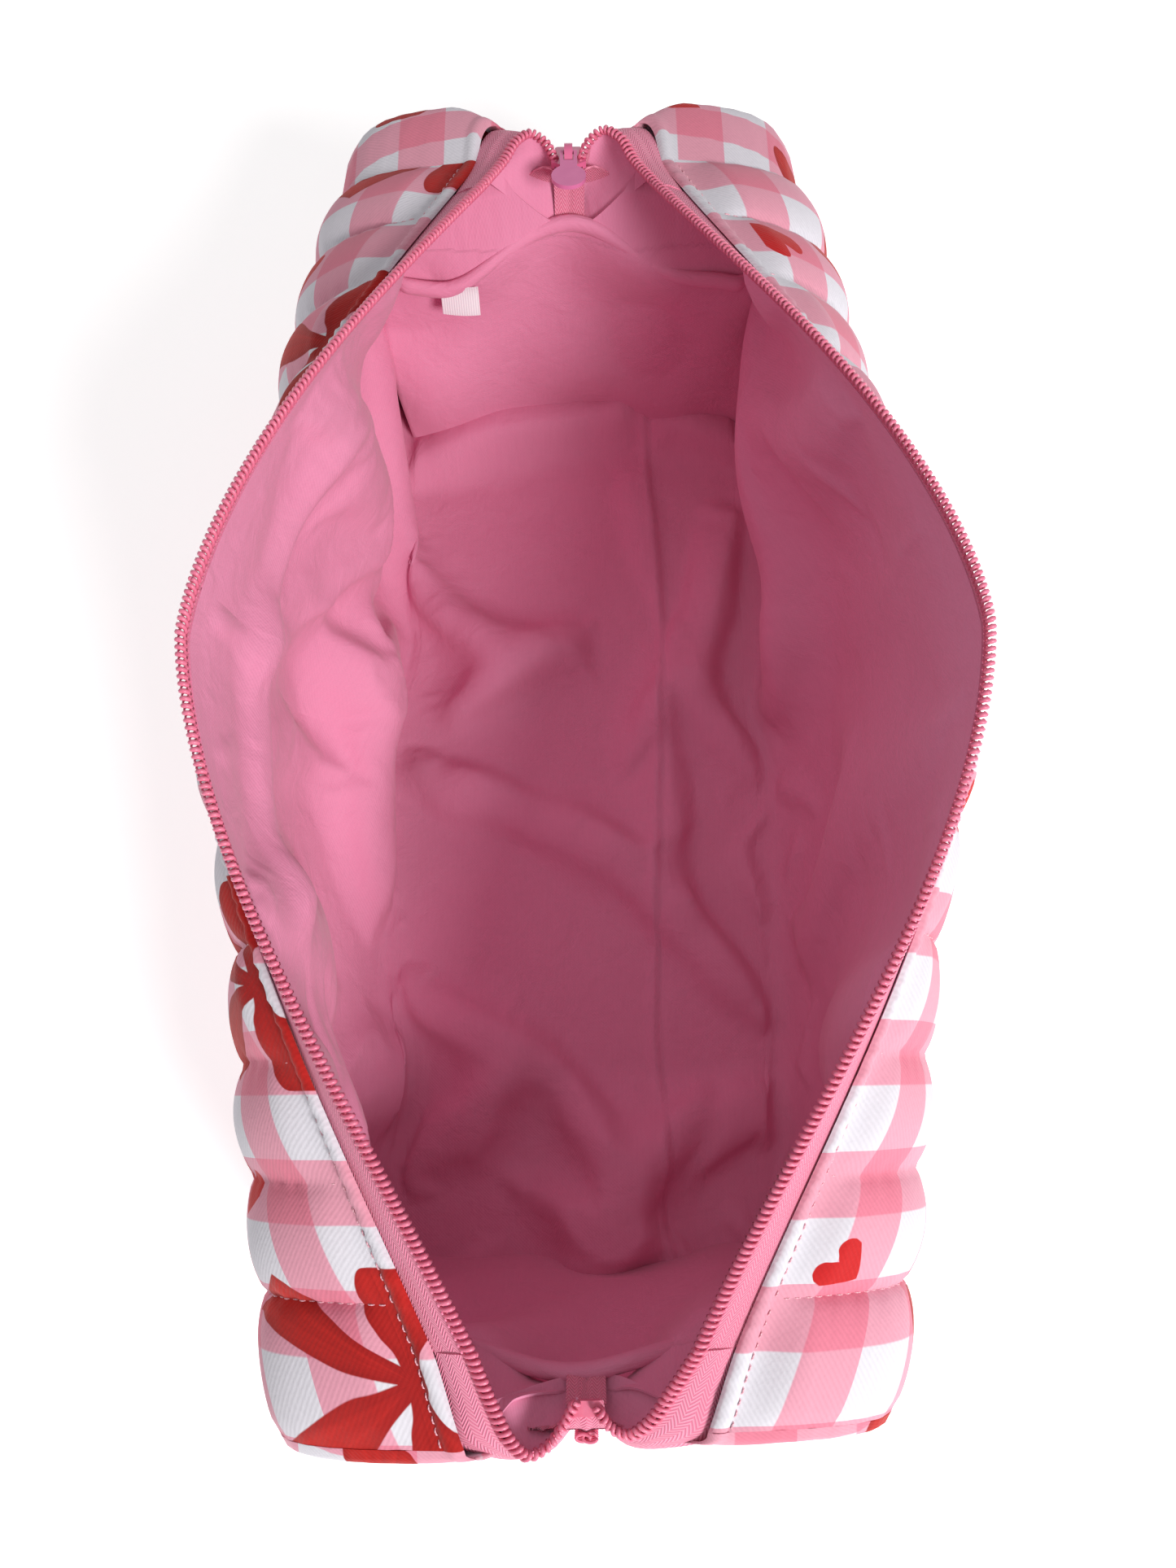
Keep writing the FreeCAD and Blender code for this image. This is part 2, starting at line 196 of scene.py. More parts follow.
def printed_side(side, y, s):
    """The printed cloth's outer face: crowned channels, puckers beside the seams and a rolled top edge."""
    place, normal = side_mid(y, s, RIM_TO_COIL)
    e = (1 - s) * GIRTH
    seed = 5 + side
    crest = 3.7 + 0.7 * ripple(y, e * 0.4, seed, 14.0)
    body = 0.9 + crest * channel_crown(y)
    pucker = np.exp(-seam_distance(y) / 3.2) * np.sin(e * 1.15 + 2.2 * ripple(y, e, seed + 2, 9.0))
    body = body + 0.28 * pucker + 0.5 * ripple(y, e, seed + 4, 16.0)
    roll = 1.8 * np.sqrt(np.clip(1 - ((e - 1.7) / 1.75) ** 2, 0, 1))
    roll = roll + 0.3 * np.sin(y * 1.7 + 3 * ripple(y, 0, seed, 6.0))
    gather = 0.5 + (body - 0.5) * smooth((e - 3.4) / 9.0)
    offset = np.where(e < 3.4, mix(0.3, roll, np.clip(e / 0.3, 0, 1)), gather)
    end = 1 - smooth((np.abs(y) - (HALF - 3)) / 3.0)
    offset = mix(1.6, offset, np.where(e < 3.4, 1.0, 0.35 + 0.65 * end))
    y = y - near_push(side) * smooth((-y - 137.0) / 16.0)
    return bowed(np.stack([side * (place[..., 0] + normal[..., 0] * offset), y * np.ones_like(offset),
                           place[..., 1] + normal[..., 1] * offset], -1))


# soft folds of the lining: y, g, then the next y, g; width; height towards the inside. g is the girth from the
# middle of the base, left negative; the base ends at 61 and the rim is near 195.
LINING_FOLDS = [
    (112, -150, 40, -96, 13, 9.0), (40, -96, -8, -72, 12, 8.0), (-8, -72, -62, -80, 10, 5.0),
    (128, -100, 78, -52, 12, 8.0), (78, -52, 30, -22, 13, 6.0), (60, -120, 22, -150, 10, 7.0),
    (-30, -60, -78, -20, 13, 6.5), (-78, -20, -116, -38, 11, 7.0), (-50, -150, -100, -118, 11, 6.0),
    (-100, -118, -136, -70, 11, 7.5), (-96, 24, -138, 4, 12, 9.0), (-70, 60, -128, 44, 11, 6.5),
    (96, 52, 40, 40, 7, 6.5), (40, 40, -2, 58, 8, 6.0), (-6, 48, -52, 62, 8, 5.0), (120, 128, 50, 96, 17, 12.0),
    (50, 92, 12, 78, 13, 5.5), (20, 132, -40, 110, 16, 5.0), (136, 12, 122, -52, 10, 9.0),
    (124, 60, 132, 20, 9, 6.0), (-20, -10, 24, 12, 14, 4.0), (-112, 130, -60, 100, 14, 6.5),
    (74, -168, 12, -174, 8, 6.0), (12, -174, -48, -168, 8, 6.0), (-48, -168, -96, -140, 9, 5.0),
    (34, -128, 26, -84, 7, 6.0), (4, -134, -4, -92, 8, 6.0), (62, -40, 48, -4, 8, 5.0),
    (52, -4, 30, -36, 7, 5.5), (12, -44, -2, -18, 7, 5.5), (-10, 2, -22, 22, 7, 5.0),
    (112, 22, 30, 26, 8, 5.0), (30, 26, -34, 32, 7, 6.0), (-34, 32, -66, 52, 7, 6.0),
    (-64, -60, -108, -64, 8, 7.0), (-84, -6, -112, 10, 7, 6.5), (-118, -20, -134, 26, 7, 7.0),
    (84, 150, 30, 160, 10, 5.0), (-20, 150, -70, 144, 10, 4.5),
]


def lining_loft(y, g):
    """How far the lining stands in from the wadding: soft folds, and nothing near its sewn edges."""
    loft = 1.6 * ripple(y, g, 31, 17.0) + 0.5 * ripple(y, g, 32, 8.5)
    for y0, g0, y1, g1, width, height in LINING_FOLDS:
        dy, dg = y1 - y0, g1 - g0
        t = np.clip(((y - y0) * dy + (g - g0) * dg) / (dy * dy + dg * dg), 0, 1)
        across = ((y - y0) * dg - (g - g0) * dy) / math.hypot(dy, dg)
        near = np.hypot(y - y0 - t * dy, g - g0 - t * dg)
        fade = 0.55 + 0.45 * np.sin(np.pi * np.clip(t, 0.05, 0.95))
        sharp = 0.94 - 0.32 * np.clip(across / (near + 1e-6), -1, 1) * smooth(near / 3.0)
        loft = loft + 1.25 * height * fade * np.exp(-((near / (1.3 * width * sharp)) ** 2))
    return loft


LINING_ROWS, LINING_COLUMNS = 131, 169      # rows a tenth of a channel apart


def lining_shell():
    """The wadding's inner face from rim to rim: points, inward normals and the girth from the base's middle."""
    y = np.linspace(-HALF, HALF, LINING_ROWS)
    s = np.linspace(1, 0.05, 90)
    yy, ss = np.meshgrid(y, s, indexing="ij")
    place, normal = side_mid(yy, ss, LINING_TO_COIL)
    depth = 0.9 + 2.6 * smooth((1 - ss) * 140.0 / 12.0)
    right = place - normal * depth[..., None]
    right[..., 1] = np.maximum(right[..., 1], 8.0)
    across = np.linspace(right[:, -1, 0] - 2, -right[:, -1, 0] + 2, 50, axis=1)
    base = np.stack([-across, np.full_like(across, 8.0)], -1)
    left = right * [-1, 1]
    girth = np.concatenate([left, base, right[:, ::-1]], 1)
    shell = np.array([even_steps(line, LINING_COLUMNS) for line in girth])
    for _ in range(14):
        shell[:, 1:-1] = (shell[:, :-2] + 2 * shell[:, 1:-1] + shell[:, 2:]) / 4
    shell = np.stack([shell[..., 0], np.repeat(y[:, None], LINING_COLUMNS, 1), shell[..., 1]], -1)
    inward = np.cross(np.gradient(shell, axis=1), np.gradient(shell, axis=0))
    inward /= np.linalg.norm(inward, axis=-1, keepdims=True)
    if inward[LINING_ROWS // 2, LINING_COLUMNS // 2, 2] < 0:
        inward = -inward
    steps = np.linalg.norm(np.diff(shell, axis=1), axis=2)
    run = np.concatenate([np.zeros((LINING_ROWS, 1)), np.cumsum(steps, 1)], 1)
    return shell, inward, run - run[:, -1:] / 2


def settle_lining(steps=90, passes=5, slack=1.03):
    """Lets the slack lining sag: springs of fixed length, gravity, and the wadding as a wall behind it."""
    shell, inward, girth = lining_shell()
    y = shell[..., 1]
    edge = np.minimum(girth + girth[:, -1:], girth[:, -1:] - girth)
    sewn = smooth((edge - 5.0) / 20.0) * smooth((HALF - np.abs(y)) / 11.0)
    cloth = shell + inward * (np.clip(lining_loft(y, girth) + 1.0, 0, 16) * sewn)[..., None]
    held = np.ones(cloth.shape[:2])
    held[:, :3] = held[:, -3:] = 0
    held[:1] = held[-1:] = 0
    pairs = []
    rows, columns = cloth.shape[:2]
    index = np.arange(rows * columns).reshape(rows, columns)
    for dr, dc, stiff in ((0, 1, 1.0), (1, 0, 1.0), (1, 1, 0.6), (1, -1, 0.6), (0, 2, 0.4), (2, 0, 0.4),
                          (0, 4, 0.3), (4, 0, 0.3), (0, 7, 0.15), (7, 0, 0.15)):
        first = index[:rows - dr, max(0, -dc):columns - max(0, dc)]
        second = index[dr:, max(0, dc):columns + min(0, dc)]
        line = np.indices(first.shape)[0 if dr else 1]
        group = (line // max(dr, abs(dc) if not dr else 1)) % 2
        for k in (0, 1):
            pairs.append((first[group == k], second[group == k], stiff))
    flat = cloth.reshape(-1, 3).copy()
    free = held.reshape(-1)
    wall, way = shell.reshape(-1, 3), inward.reshape(-1, 3)
    rest = [np.linalg.norm(flat[b] - flat[a], axis=1) * slack for a, b, _ in pairs]
    speed = np.zeros_like(flat)
    for step in range(steps):
        before = flat.copy()
        speed[:, 2] -= 0.03
        flat += speed * free[:, None]
        for _ in range(passes):
            for (a, b, stiff), length in zip(pairs, rest):
                gap = flat[b] - flat[a]
                span = np.linalg.norm(gap, axis=1) + 1e-9
                weight = free[a] + free[b]
                push = gap * (stiff * (span - length) / span / np.maximum(weight, 1.0))[:, None]
                flat[a] += push * free[a][:, None]
                flat[b] -= push * free[b][:, None]
            inside_by = np.sum((flat - wall) * way, 1)
            flat += way * np.clip(0.15 - inside_by, 0, None)[:, None] * free[:, None]
        speed = (flat - before) * 0.93
        speed[np.sum((flat - wall) * way, 1) < 0.5] *= 0.4
    return flat.reshape(rows, columns, 3), girth, inward


def finer(grid):
    """Twice the rows and columns, on a smooth surface through the old ones."""
    for axis in (0, 1):
        g = np.swapaxes(grid, 0, axis)
        padded = np.concatenate([2 * g[:1] - g[1:2], g, 2 * g[-1:] - g[-2:-1]])
        halfway = (9 * (padded[1:-2] + padded[2:-1]) - padded[:-3] - padded[3:]) / 16
        out = np.empty((2 * len(g) - 1, *g.shape[1:]))
        out[::2], out[1::2] = g, halfway
        grid = np.swapaxes(out, 0, axis)
    return grid


# ---------------------------------------------------------------- meshes

def finish_mesh(obj, material, thickness=0.0, inward=True):
    obj.data.materials.append(material)
    obj.data.polygons.foreach_set("use_smooth", [True] * len(obj.data.polygons))
    if thickness:
        shell = obj.modifiers.new("Cloth thickness", "SOLIDIFY")
        shell.thickness = thickness * MM
        shell.offset = -1.0 if inward else 1.0
    return obj


def mesh_object(name, points, faces, cloth=None):
    mesh = bpy.data.meshes.new(name)
    mesh.from_pydata((np.asarray(points, float).reshape(-1, 3) * MM).tolist(), [], faces)
    if cloth is not None:
        flat = mesh.attributes.new("cloth", "FLOAT_VECTOR", "POINT")
        flat.data.foreach_set("vector", np.asarray(cloth, np.float32).reshape(-1))
    sides_of = {}
    for polygon in mesh.polygons:
        for key in polygon.edge_keys:
            sides_of[key] = sides_of.get(key, 0) + 1
    sharp = mesh.attributes.new("sharp_edge", "BOOLEAN", "EDGE")
    sharp.data.foreach_set("value", [sides_of[tuple(sorted(e.vertices))] == 1 for e in mesh.edges])
    obj = bpy.data.objects.new(name, mesh)
    bpy.context.scene.collection.objects.link(obj)
    return obj


def grid_faces(rows, columns, first=0, flip=False, close=False):
    faces = []
    for r in range(rows - 1):
        for c in range(columns if close else columns - 1):
            d = (c + 1) % columns
            quad = [first + r * columns + c, first + r * columns + d,
                    first + (r + 1) * columns + d, first + (r + 1) * columns + c]
            faces.append(quad[::-1] if flip else quad)
    return faces


def grid_object(name, points, cloth, material, thickness, flip):
    rows, columns = points.shape[:2]
    obj = mesh_object(name, points, grid_faces(rows, columns, flip=flip), cloth)
    return finish_mesh(obj, material, thickness)


def row_length(points):
    """Distance along each row from its last point."""
    steps = np.linalg.norm(np.diff(points, axis=1), axis=2)
    run = np.concatenate([np.zeros((len(points), 1)), np.cumsum(steps, 1)], 1)
    return run[:, -1:] - run


def tubes_object(name, paths, radii, material, sides=6):
    """One mesh of round tubes along the paths, closed at both ends, with a radius for every point."""
    points, faces, cloth = [], [], []
    first = 0
    for path, radius in zip(paths, radii):
        path = np.asarray(path, float)
        radius = np.broadcast_to(radius, len(path))
        along = np.gradient(path, axis=0)
        along /= np.linalg.norm(along, axis=1, keepdims=True) + 1e-9
        guide = np.array([0.0, 0.0, 1.0]) if abs(along[len(path) // 2][2]) < 0.8 else np.array([1.0, 0.0, 0.0])
        across = np.cross(along, guide)
        across /= np.linalg.norm(across, axis=1, keepdims=True) + 1e-9
        up = np.cross(across, along)
        angles = np.arange(sides) * 2 * math.pi / sides
        ring = across[:, None] * np.cos(angles)[None, :, None] + up[:, None] * np.sin(angles)[None, :, None]
        points.append((path[:, None] + ring * radius[:, None, None]).reshape(-1, 3))
        cloth.append(flat_cloth(np.repeat(run_along(path), sides), np.tile(angles, len(path))))
        faces += grid_faces(len(path), sides, first, close=True)
        faces.append([first + k for k in range(sides)][::-1])
        faces.append([first + (len(path) - 1) * sides + k for k in range(sides)])
        first += len(path) * sides
    obj = mesh_object(name, np.concatenate(points), faces, np.concatenate(cloth))
    return finish_mesh(obj, material)


# ---------------------------------------------------------------- materials

def linear(hex_colour):
    """sRGB hex to the linear colour that a shader takes."""
    parts = [int(hex_colour[i:i + 2], 16) / 255 for i in (1, 3, 5)]
    return (*[c / 12.92 if c <= 0.04045 else ((c + 0.055) / 1.055) ** 2.4 for c in parts], 1.0)


def add(tree, kind, links=None, **settings):
    """Adds a node; settings named for a socket set its value, the others set the node's own properties."""
    node = tree.nodes.new("ShaderNode" + kind)
    for key, value in settings.items():
        if hasattr(node, key):
            setattr(node, key, value)
    for key, value in settings.items():
        if not hasattr(node, key):
            socket = int(key[1:]) if key[0] == "i" and key[1:].isdigit() else key.replace("_", " ")
            node.inputs[socket].default_value = value
    for socket, source in (links or {}).items():
        tree.links.new(source, node.inputs[socket])
    return node


def new_material(name, base=None, roughness=0.85, **settings):
    material = bpy.data.materials.new(name)
    material.use_nodes = True
    tree = material.node_tree
    shader = tree.nodes["Principled BSDF"]
    shader.inputs["Roughness"].default_value = roughness
    for key, value in settings.items():
        shader.inputs[key.replace("_", " ")].default_value = value
    if base:
        shader.inputs["Base Color"].default_value = linear(base)
    return material, tree, shader


def calc(tree, operation, a, b=None, c=None, clamp=False):
    node = add(tree, "Math", operation=operation, use_clamp=clamp)
    for i, value in enumerate((a, b, c)):
        if value is None:
            continue
        if isinstance(value, (int, float)):
            node.inputs[i].default_value = value
        else:
            tree.links.new(value, node.inputs[i])
    return node.outputs[0]


def mix_colour(tree, factor, a, b, blend="MIX"):
    node = add(tree, "Mix", data_type="RGBA", blend_type=blend)
    for socket, value in ((0, factor), (6, a), (7, b)):
        if isinstance(value, str):
            node.inputs[socket].default_value = linear(value)
        elif isinstance(value, (int, float)):
            node.inputs[socket].default_value = value
        else:
            tree.links.new(value, node.inputs[socket])
    return node.outputs[2]


def paint(tree, shader, colour):
    tree.links.new(colour, shader.inputs["Base Color"])


def cloth_axes(tree):
    """The cloth's own flat coordinates, in millimetres."""
    flat = add(tree, "Attribute", attribute_name="cloth")
    split = add(tree, "SeparateXYZ", {0: flat.outputs["Vector"]})
    return flat.outputs["Vector"], split.outputs[0], split.outputs[1]


def bump(tree, shader, height, distance_mm, strength=1.0, after=None):
    links = {"Height": height}
    if after is not None:
        links["Normal"] = after
    node = add(tree, "Bump", links, Strength=strength, Distance=distance_mm * MM)
    tree.links.new(node.outputs[0], shader.inputs["Normal"])
    return node.outputs[0]


CHECK = 12.7                    # half-inch gingham checks
REPEAT = (6 * CHECK, 20 * CHECK)    # the print's repeat along the bag and round it


def motif_space(tree, flat, centre, turn, scale, rows):
    """Coordinates about a motif's centre, repeated with the print, turned and scaled."""
    moved = add(tree, "VectorMath", {0: flat}, operation="SUBTRACT", i1=(*centre, 0.0))
    wrapped = add(tree, "VectorMath", {0: moved.outputs[0]}, operation="WRAP",
                  i1=(rows * REPEAT[0] / 2, REPEAT[1] / 2, 1.0), i2=(-rows * REPEAT[0] / 2, -REPEAT[1] / 2, -1.0))
    turned = add(tree, "VectorRotate", {"Vector": wrapped.outputs[0]}, rotation_type="Z_AXIS",
                 Angle=math.radians(turn))
    scaled = add(tree, "VectorMath", {0: turned.outputs[0]}, operation="MULTIPLY", i1=(1 / scale, 1 / scale, 1.0))
    split = add(tree, "SeparateXYZ", {0: scaled.outputs[0]})
    return split.outputs[0], split.outputs[1]


def profile(tree, value, low, high, shape):
    """A drawn curve: shape lists (place, height) with the place running from low to high."""
    share = add(tree, "MapRange", {"Value": value}, From_Min=low, From_Max=high)
    curve = add(tree, "FloatCurve", {"Value": share.outputs[0]})
    line = curve.mapping.curves[0]
    top = max(h for _, h in shape)
    for _ in range(len(shape) - 2):
        line.points.new(0.5, 0.5)
    for point, (place, height) in zip(line.points, shape):
        point.location = ((place - low) / (high - low), height / top)
    curve.mapping.update()
    return calc(tree, "MULTIPLY", curve.outputs[0], top)


def inside(tree, distance, soft=0.25):
    """1 inside an outline and 0 outside, from a distance in millimetres that is positive inside."""
    return calc(tree, "MULTIPLY_ADD", distance, 1 / soft, 0.5, clamp=True)


def heart_mask(tree, flat, centre, turn, scale, rows=1):
    p, q = motif_space(tree, flat, centre, turn, scale, rows)
    width = calc(tree, "ABSOLUTE", p)
    top = profile(tree, width, 0, 6.0, [(0, 1.2), (0.8, 2.6), (2.6, 4.7), (4.4, 4.3), (5.5, 2.9), (6.0, 1.2)])
    low = profile(tree, width, 0, 6.0, [(0, 8.2), (1.5, 6.6), (3.4, 4.0), (5.0, 1.6), (6.0, 0.0)])
    below = calc(tree, "SUBTRACT", top, q)
    above = calc(tree, "ADD", q, low)
    beside = calc(tree, "SUBTRACT", 5.9, width)
    return inside(tree, calc(tree, "MINIMUM", calc(tree, "MINIMUM", below, above), beside))


def bow_mask(tree, flat, centre, turn, scale):
    """A ribbon bow: two loops along its own x, two cut tails down its own -y, and a knot."""
    p, q = motif_space(tree, flat, centre, turn, scale, 1)
    reach = calc(tree, "ABSOLUTE", p)
    loop_half = profile(tree, reach, 0, 21.0, [(0, 1.6), (3, 2.2), (8, 5.2), (14, 7.6), (18.5, 7.4), (21, 4.5)])
    lifted = calc(tree, "MULTIPLY_ADD", reach, -0.20, q)
    loop = calc(tree, "SUBTRACT", loop_half, calc(tree, "ABSOLUTE", lifted))
    loop = calc(tree, "MINIMUM", loop, calc(tree, "SUBTRACT", 21.0, reach))
    drop = calc(tree, "MULTIPLY", q, -1.0)
    middle = profile(tree, drop, 0, 32.0, [(0, 0.5), (8, 4.0), (18, 9.5), (26, 14.0), (32, 17.5)])
    tail_half = profile(tree, drop, 0, 32.0, [(0, 1.2), (6, 2.4), (16, 5.4), (26, 6.6), (32, 7.0)])
    aside = calc(tree, "SUBTRACT", reach, middle)
    tail = calc(tree, "SUBTRACT", tail_half, calc(tree, "ABSOLUTE", aside))
    cut = calc(tree, "MULTIPLY_ADD", aside, -0.75, 28.0)
    tail = calc(tree, "MINIMUM", tail, calc(tree, "SUBTRACT", cut, drop))
    tail = calc(tree, "MINIMUM", tail, drop)
    radius = calc(tree, "SQRT", calc(tree, "ADD", calc(tree, "MULTIPLY", p, p),
                                               calc(tree, "MULTIPLY", q, q)))
    knot = calc(tree, "SUBTRACT", 3.0, radius)
    shape = calc(tree, "MAXIMUM", calc(tree, "MAXIMUM", loop, tail), knot)
    # brush strokes run out from the knot; the ribbon is darker where it gathers there
    sweep = calc(tree, "ARCTAN2", q, p)
    strokes = add(tree, "TexNoise", {"W": calc(tree, "MULTIPLY", sweep, 5.5)}, noise_dimensions="1D",
                  Scale=1.6, Detail=3.0)
    gather = calc(tree, "MULTIPLY_ADD", radius, 0.035, -0.05, clamp=True)
    edge = calc(tree, "MULTIPLY_ADD", shape, 0.5, 0.0, clamp=True)
    tone = calc(tree, "ADD", calc(tree, "MULTIPLY", strokes.outputs[0], 0.55),
                     calc(tree, "MULTIPLY", gather, 0.55))
    tone = calc(tree, "MULTIPLY", tone, calc(tree, "MULTIPLY_ADD", edge, 0.5, 0.5), clamp=True)
    return inside(tree, shape), tone


def printed_cotton_twill():
    """Cotton twill, woven then screen printed: matt, with a fine diagonal rib and a slight fuzz."""
    material, tree, shader = new_material("Printed cotton twill", roughness=0.82, Sheen_Weight=0.12,
                                          Sheen_Roughness=0.5, Specular_IOR_Level=0.25)
    flat, along, around = cloth_axes(tree)
    bands = []
    for axis in (along, around):
        turn = calc(tree, "MODULO", calc(tree, "ADD", axis, 40 * CHECK), 2 * CHECK)
        bands.append(inside(tree, calc(tree, "SUBTRACT", turn, CHECK), 0.35))
    either = calc(tree, "MAXIMUM", *bands)
    both = calc(tree, "MULTIPLY", *bands)
    colour = mix_colour(tree, either, "#DBD8E0", "#E09BAE")
    colour = mix_colour(tree, both, colour, "#DF7E94")
    for centre, turn, scale in (((9.0, 6.0), 180, 1.0), ((47.1, 69.5), 172, 1.0), ((0.4, 178.0), 180, 1.0)):
        mask, tone = bow_mask(tree, flat, centre, turn, scale)
        red = mix_colour(tree, tone, "#8C0A0D", "#CC251E")
        colour = mix_colour(tree, mask, colour, red)
    for centre, turn, scale, rows in (((45.4, 33.0), 115, 0.9, 1), ((118.7, 141.0), -60, 0.95, 2),
                                      ((124.0, 160.0), 110, 0.85, 2), ((29.1, 141.0), 150, 0.8, 2)):
        colour = mix_colour(tree, heart_mask(tree, flat, centre, turn, scale, rows), colour, "#C2181A")
    # 45 degree twill rib, drawn at 0.8 mm because the real 0.56 mm is too fine to show
    rib = calc(tree, "SINE", calc(tree, "MULTIPLY", calc(tree, "ADD", along, around),
                                            2 * math.pi / (0.8 * 1.414)))
    slub = add(tree, "TexNoise", {"Vector": flat}, Scale=0.9, Detail=4.0, Roughness=0.6)
    # painted shade: the rib's grooves are coloured a little darker, as light would shade them; the slub adds the
    # yarn's own uneven tone
    shade = calc(tree, "MULTIPLY_ADD", rib, 0.035, 0.965)
    shade = calc(tree, "MULTIPLY", shade, calc(tree, "MULTIPLY_ADD", slub.outputs[0], 0.14, 0.93))
    grey = add(tree, "CombineColor", {0: shade, 1: shade, 2: shade})
    colour = mix_colour(tree, 1.0, colour, grey.outputs[0], "MULTIPLY")
    paint(tree, shader, colour)
    after = bump(tree, shader, rib, 0.04, 0.4)
    bump(tree, shader, slub.outputs[0], 0.35, 0.35, after)
    return material


def plain_weave(name, base, dark, weave_mm, roughness=0.9):
    """Plain-weave cotton: matt, slightly slubby, with a crossed thread grid."""
    material, tree, shader = new_material(name, roughness=roughness, Sheen_Weight=0.15, Sheen_Roughness=0.5,
                                          Specular_IOR_Level=0.2)
    flat, along, around = cloth_axes(tree)
    waves = [calc(tree, "SINE", calc(tree, "MULTIPLY", axis, 2 * math.pi / weave_mm))
             for axis in (along, around)]
    grid = calc(tree, "MULTIPLY", *waves)
    squeeze = add(tree, "VectorMath", {0: flat}, operation="MULTIPLY", i1=(0.12, 1.4, 1.0))
    slub = add(tree, "TexNoise", {"Vector": squeeze.outputs[0]}, Scale=1.0, Detail=4.0, Roughness=0.65)
    cloudy = add(tree, "TexNoise", {"Vector": flat}, Scale=0.05, Detail=3.0)
    tone = calc(tree, "ADD", calc(tree, "MULTIPLY", slub.outputs[0], 0.45),
                     calc(tree, "MULTIPLY", cloudy.outputs[0], 0.3))
    # painted shade: the thread grid's hollows lean towards the darker pink; the slub and cloudy tone is the cotton's
    # own
    tone = calc(tree, "MULTIPLY_ADD", grid, 0.06, tone)
    colour = mix_colour(tree, tone, dark, base)
    paint(tree, shader, colour)
    after = bump(tree, shader, grid, 0.05, 0.35)
    crease = add(tree, "TexNoise", {"Vector": flat}, Scale=0.11, Detail=5.0, Roughness=0.55, Distortion=0.6)
    bump(tree, shader, crease.outputs[0], 2.2, 0.35, after)
    return material


def herringbone_tape():
    """Woven polyester zip tape: chevrons of twill about 2.4 mm wide, their ribs painted with light and shade, and a
    soft synthetic gloss.
    """
    material, tree, shader = new_material("Woven polyester tape", roughness=0.62, Sheen_Weight=0.1,
                                          Specular_IOR_Level=0.35)
    flat, along, around = cloth_axes(tree)
    leg = calc(tree, "PINGPONG", around, 1.2)
    slope = calc(tree, "ADD", calc(tree, "MULTIPLY", leg, 1.5), along)
    rib = calc(tree, "SINE", calc(tree, "MULTIPLY", slope, 2 * math.pi / 0.9))
    # painted shade and highlight: the ribs' hollows take the darker pink and their crowns the lighter
    tone = calc(tree, "MULTIPLY_ADD", rib, 0.32, 0.5)
    paint(tree, shader, mix_colour(tree, tone, "#D9668A", "#F7A6BE"))
    bump(tree, shader, rib, 0.12, 0.7)
    return material


def nylon_coil():
    """Nylon monofilament, drawn and dyed: smooth, slightly see-through at its edges."""
    material, tree, shader = new_material("Nylon monofilament", roughness=0.36, Specular_IOR_Level=0.5, IOR=1.53,
                                          Subsurface_Weight=0.12, Subsurface_Scale=0.0006)
    noise = add(tree, "TexNoise", {"Vector": add(tree, "TexCoord").outputs["Object"]}, Scale=420.0, Detail=2.0)
    paint(tree, shader, mix_colour(tree, noise.outputs[0], "#DE6788", "#F08AA6"))
    return material


def sewing_thread(name, dark, light):
    """Spun polyester thread: the twist of its two plies is painted as slanting bands of shade and highlight."""
    material, tree, shader = new_material(name, roughness=0.6, Sheen_Weight=0.2)
    flat, along, around = cloth_axes(tree)
    twist = calc(tree, "SINE", calc(tree, "MULTIPLY_ADD", along, 2 * math.pi / 0.6, around))
    # painted shade and highlight along the plies' twist
    tone = calc(tree, "MULTIPLY_ADD", twist, 0.4, 0.5)
    paint(tree, shader, mix_colour(tree, tone, dark, light))
    bump(tree, shader, twist, 0.06, 0.6)
    return material


def enamel(name, base, shade):
    """Stoved enamel on zinc: glossy under a clear coat, a little uneven over the casting."""
    material, tree, shader = new_material(name, roughness=0.32, Specular_IOR_Level=0.5, Coat_Weight=0.5,
                                          Coat_Roughness=0.15)
    noise = add(tree, "TexNoise", {"Vector": add(tree, "TexCoord").outputs["Object"]}, Scale=300.0, Detail=3.0)
    paint(tree, shader, mix_colour(tree, noise.outputs[0], shade, base))
    bump(tree, shader, noise.outputs[0], 0.05, 0.3)
    return material


def satin_label():
    """Woven satin ribbon: white, with fine lengthwise floats."""
    material, tree, shader = new_material("Satin ribbon", roughness=0.42, Sheen_Weight=0.2)
    flat, along, around = cloth_axes(tree)
    rib = calc(tree, "SINE", calc(tree, "MULTIPLY", along, 2 * math.pi / 0.7))
    # painted sheen and shade: the floats' crowns are pure white and the gaps between them pale grey
    tone = calc(tree, "MULTIPLY_ADD", rib, 0.3, 0.5)
    paint(tree, shader, mix_colour(tree, tone, "#E4DFE8", "#FFFFFF"))
    bump(tree, shader, rib, 0.05, 0.5)
    return material


TWILL = printed_cotton_twill()
LINING = plain_weave("Plain-weave cotton lining", "#EDA0BE", "#DF88AB", 0.9)
BINDING = plain_weave("Folded cotton binding", "#F0A2C0", "#E38BAE", 0.9)
TAPE = herringbone_tape()
COIL = nylon_coil()
THREAD = sewing_thread("Pale pink thread", "#DF93A5", "#F2C4CD")
PINK_THREAD = sewing_thread("Pink thread", "#D95F86", "#F58FAF")
ENAMEL = enamel("Pink stoved enamel", "#E8749F", "#D65E8C")
PULL_ENAMEL = enamel("Lavender pink enamel", "#E783B4", "#D873A6")
LABEL = satin_label()


# ---------------------------------------------------------------- zones of each side

def end_start(end):
    """Where the blend of an end zone starts and ends along Y."""
    there = 1 - END_ZONE / REACH
    slope = (there - END_SHARE) / (HALF - END_ZONE)
    return end * (HALF + END_SHARE / slope), end * (END_ZONE - (1 - there) / slope)


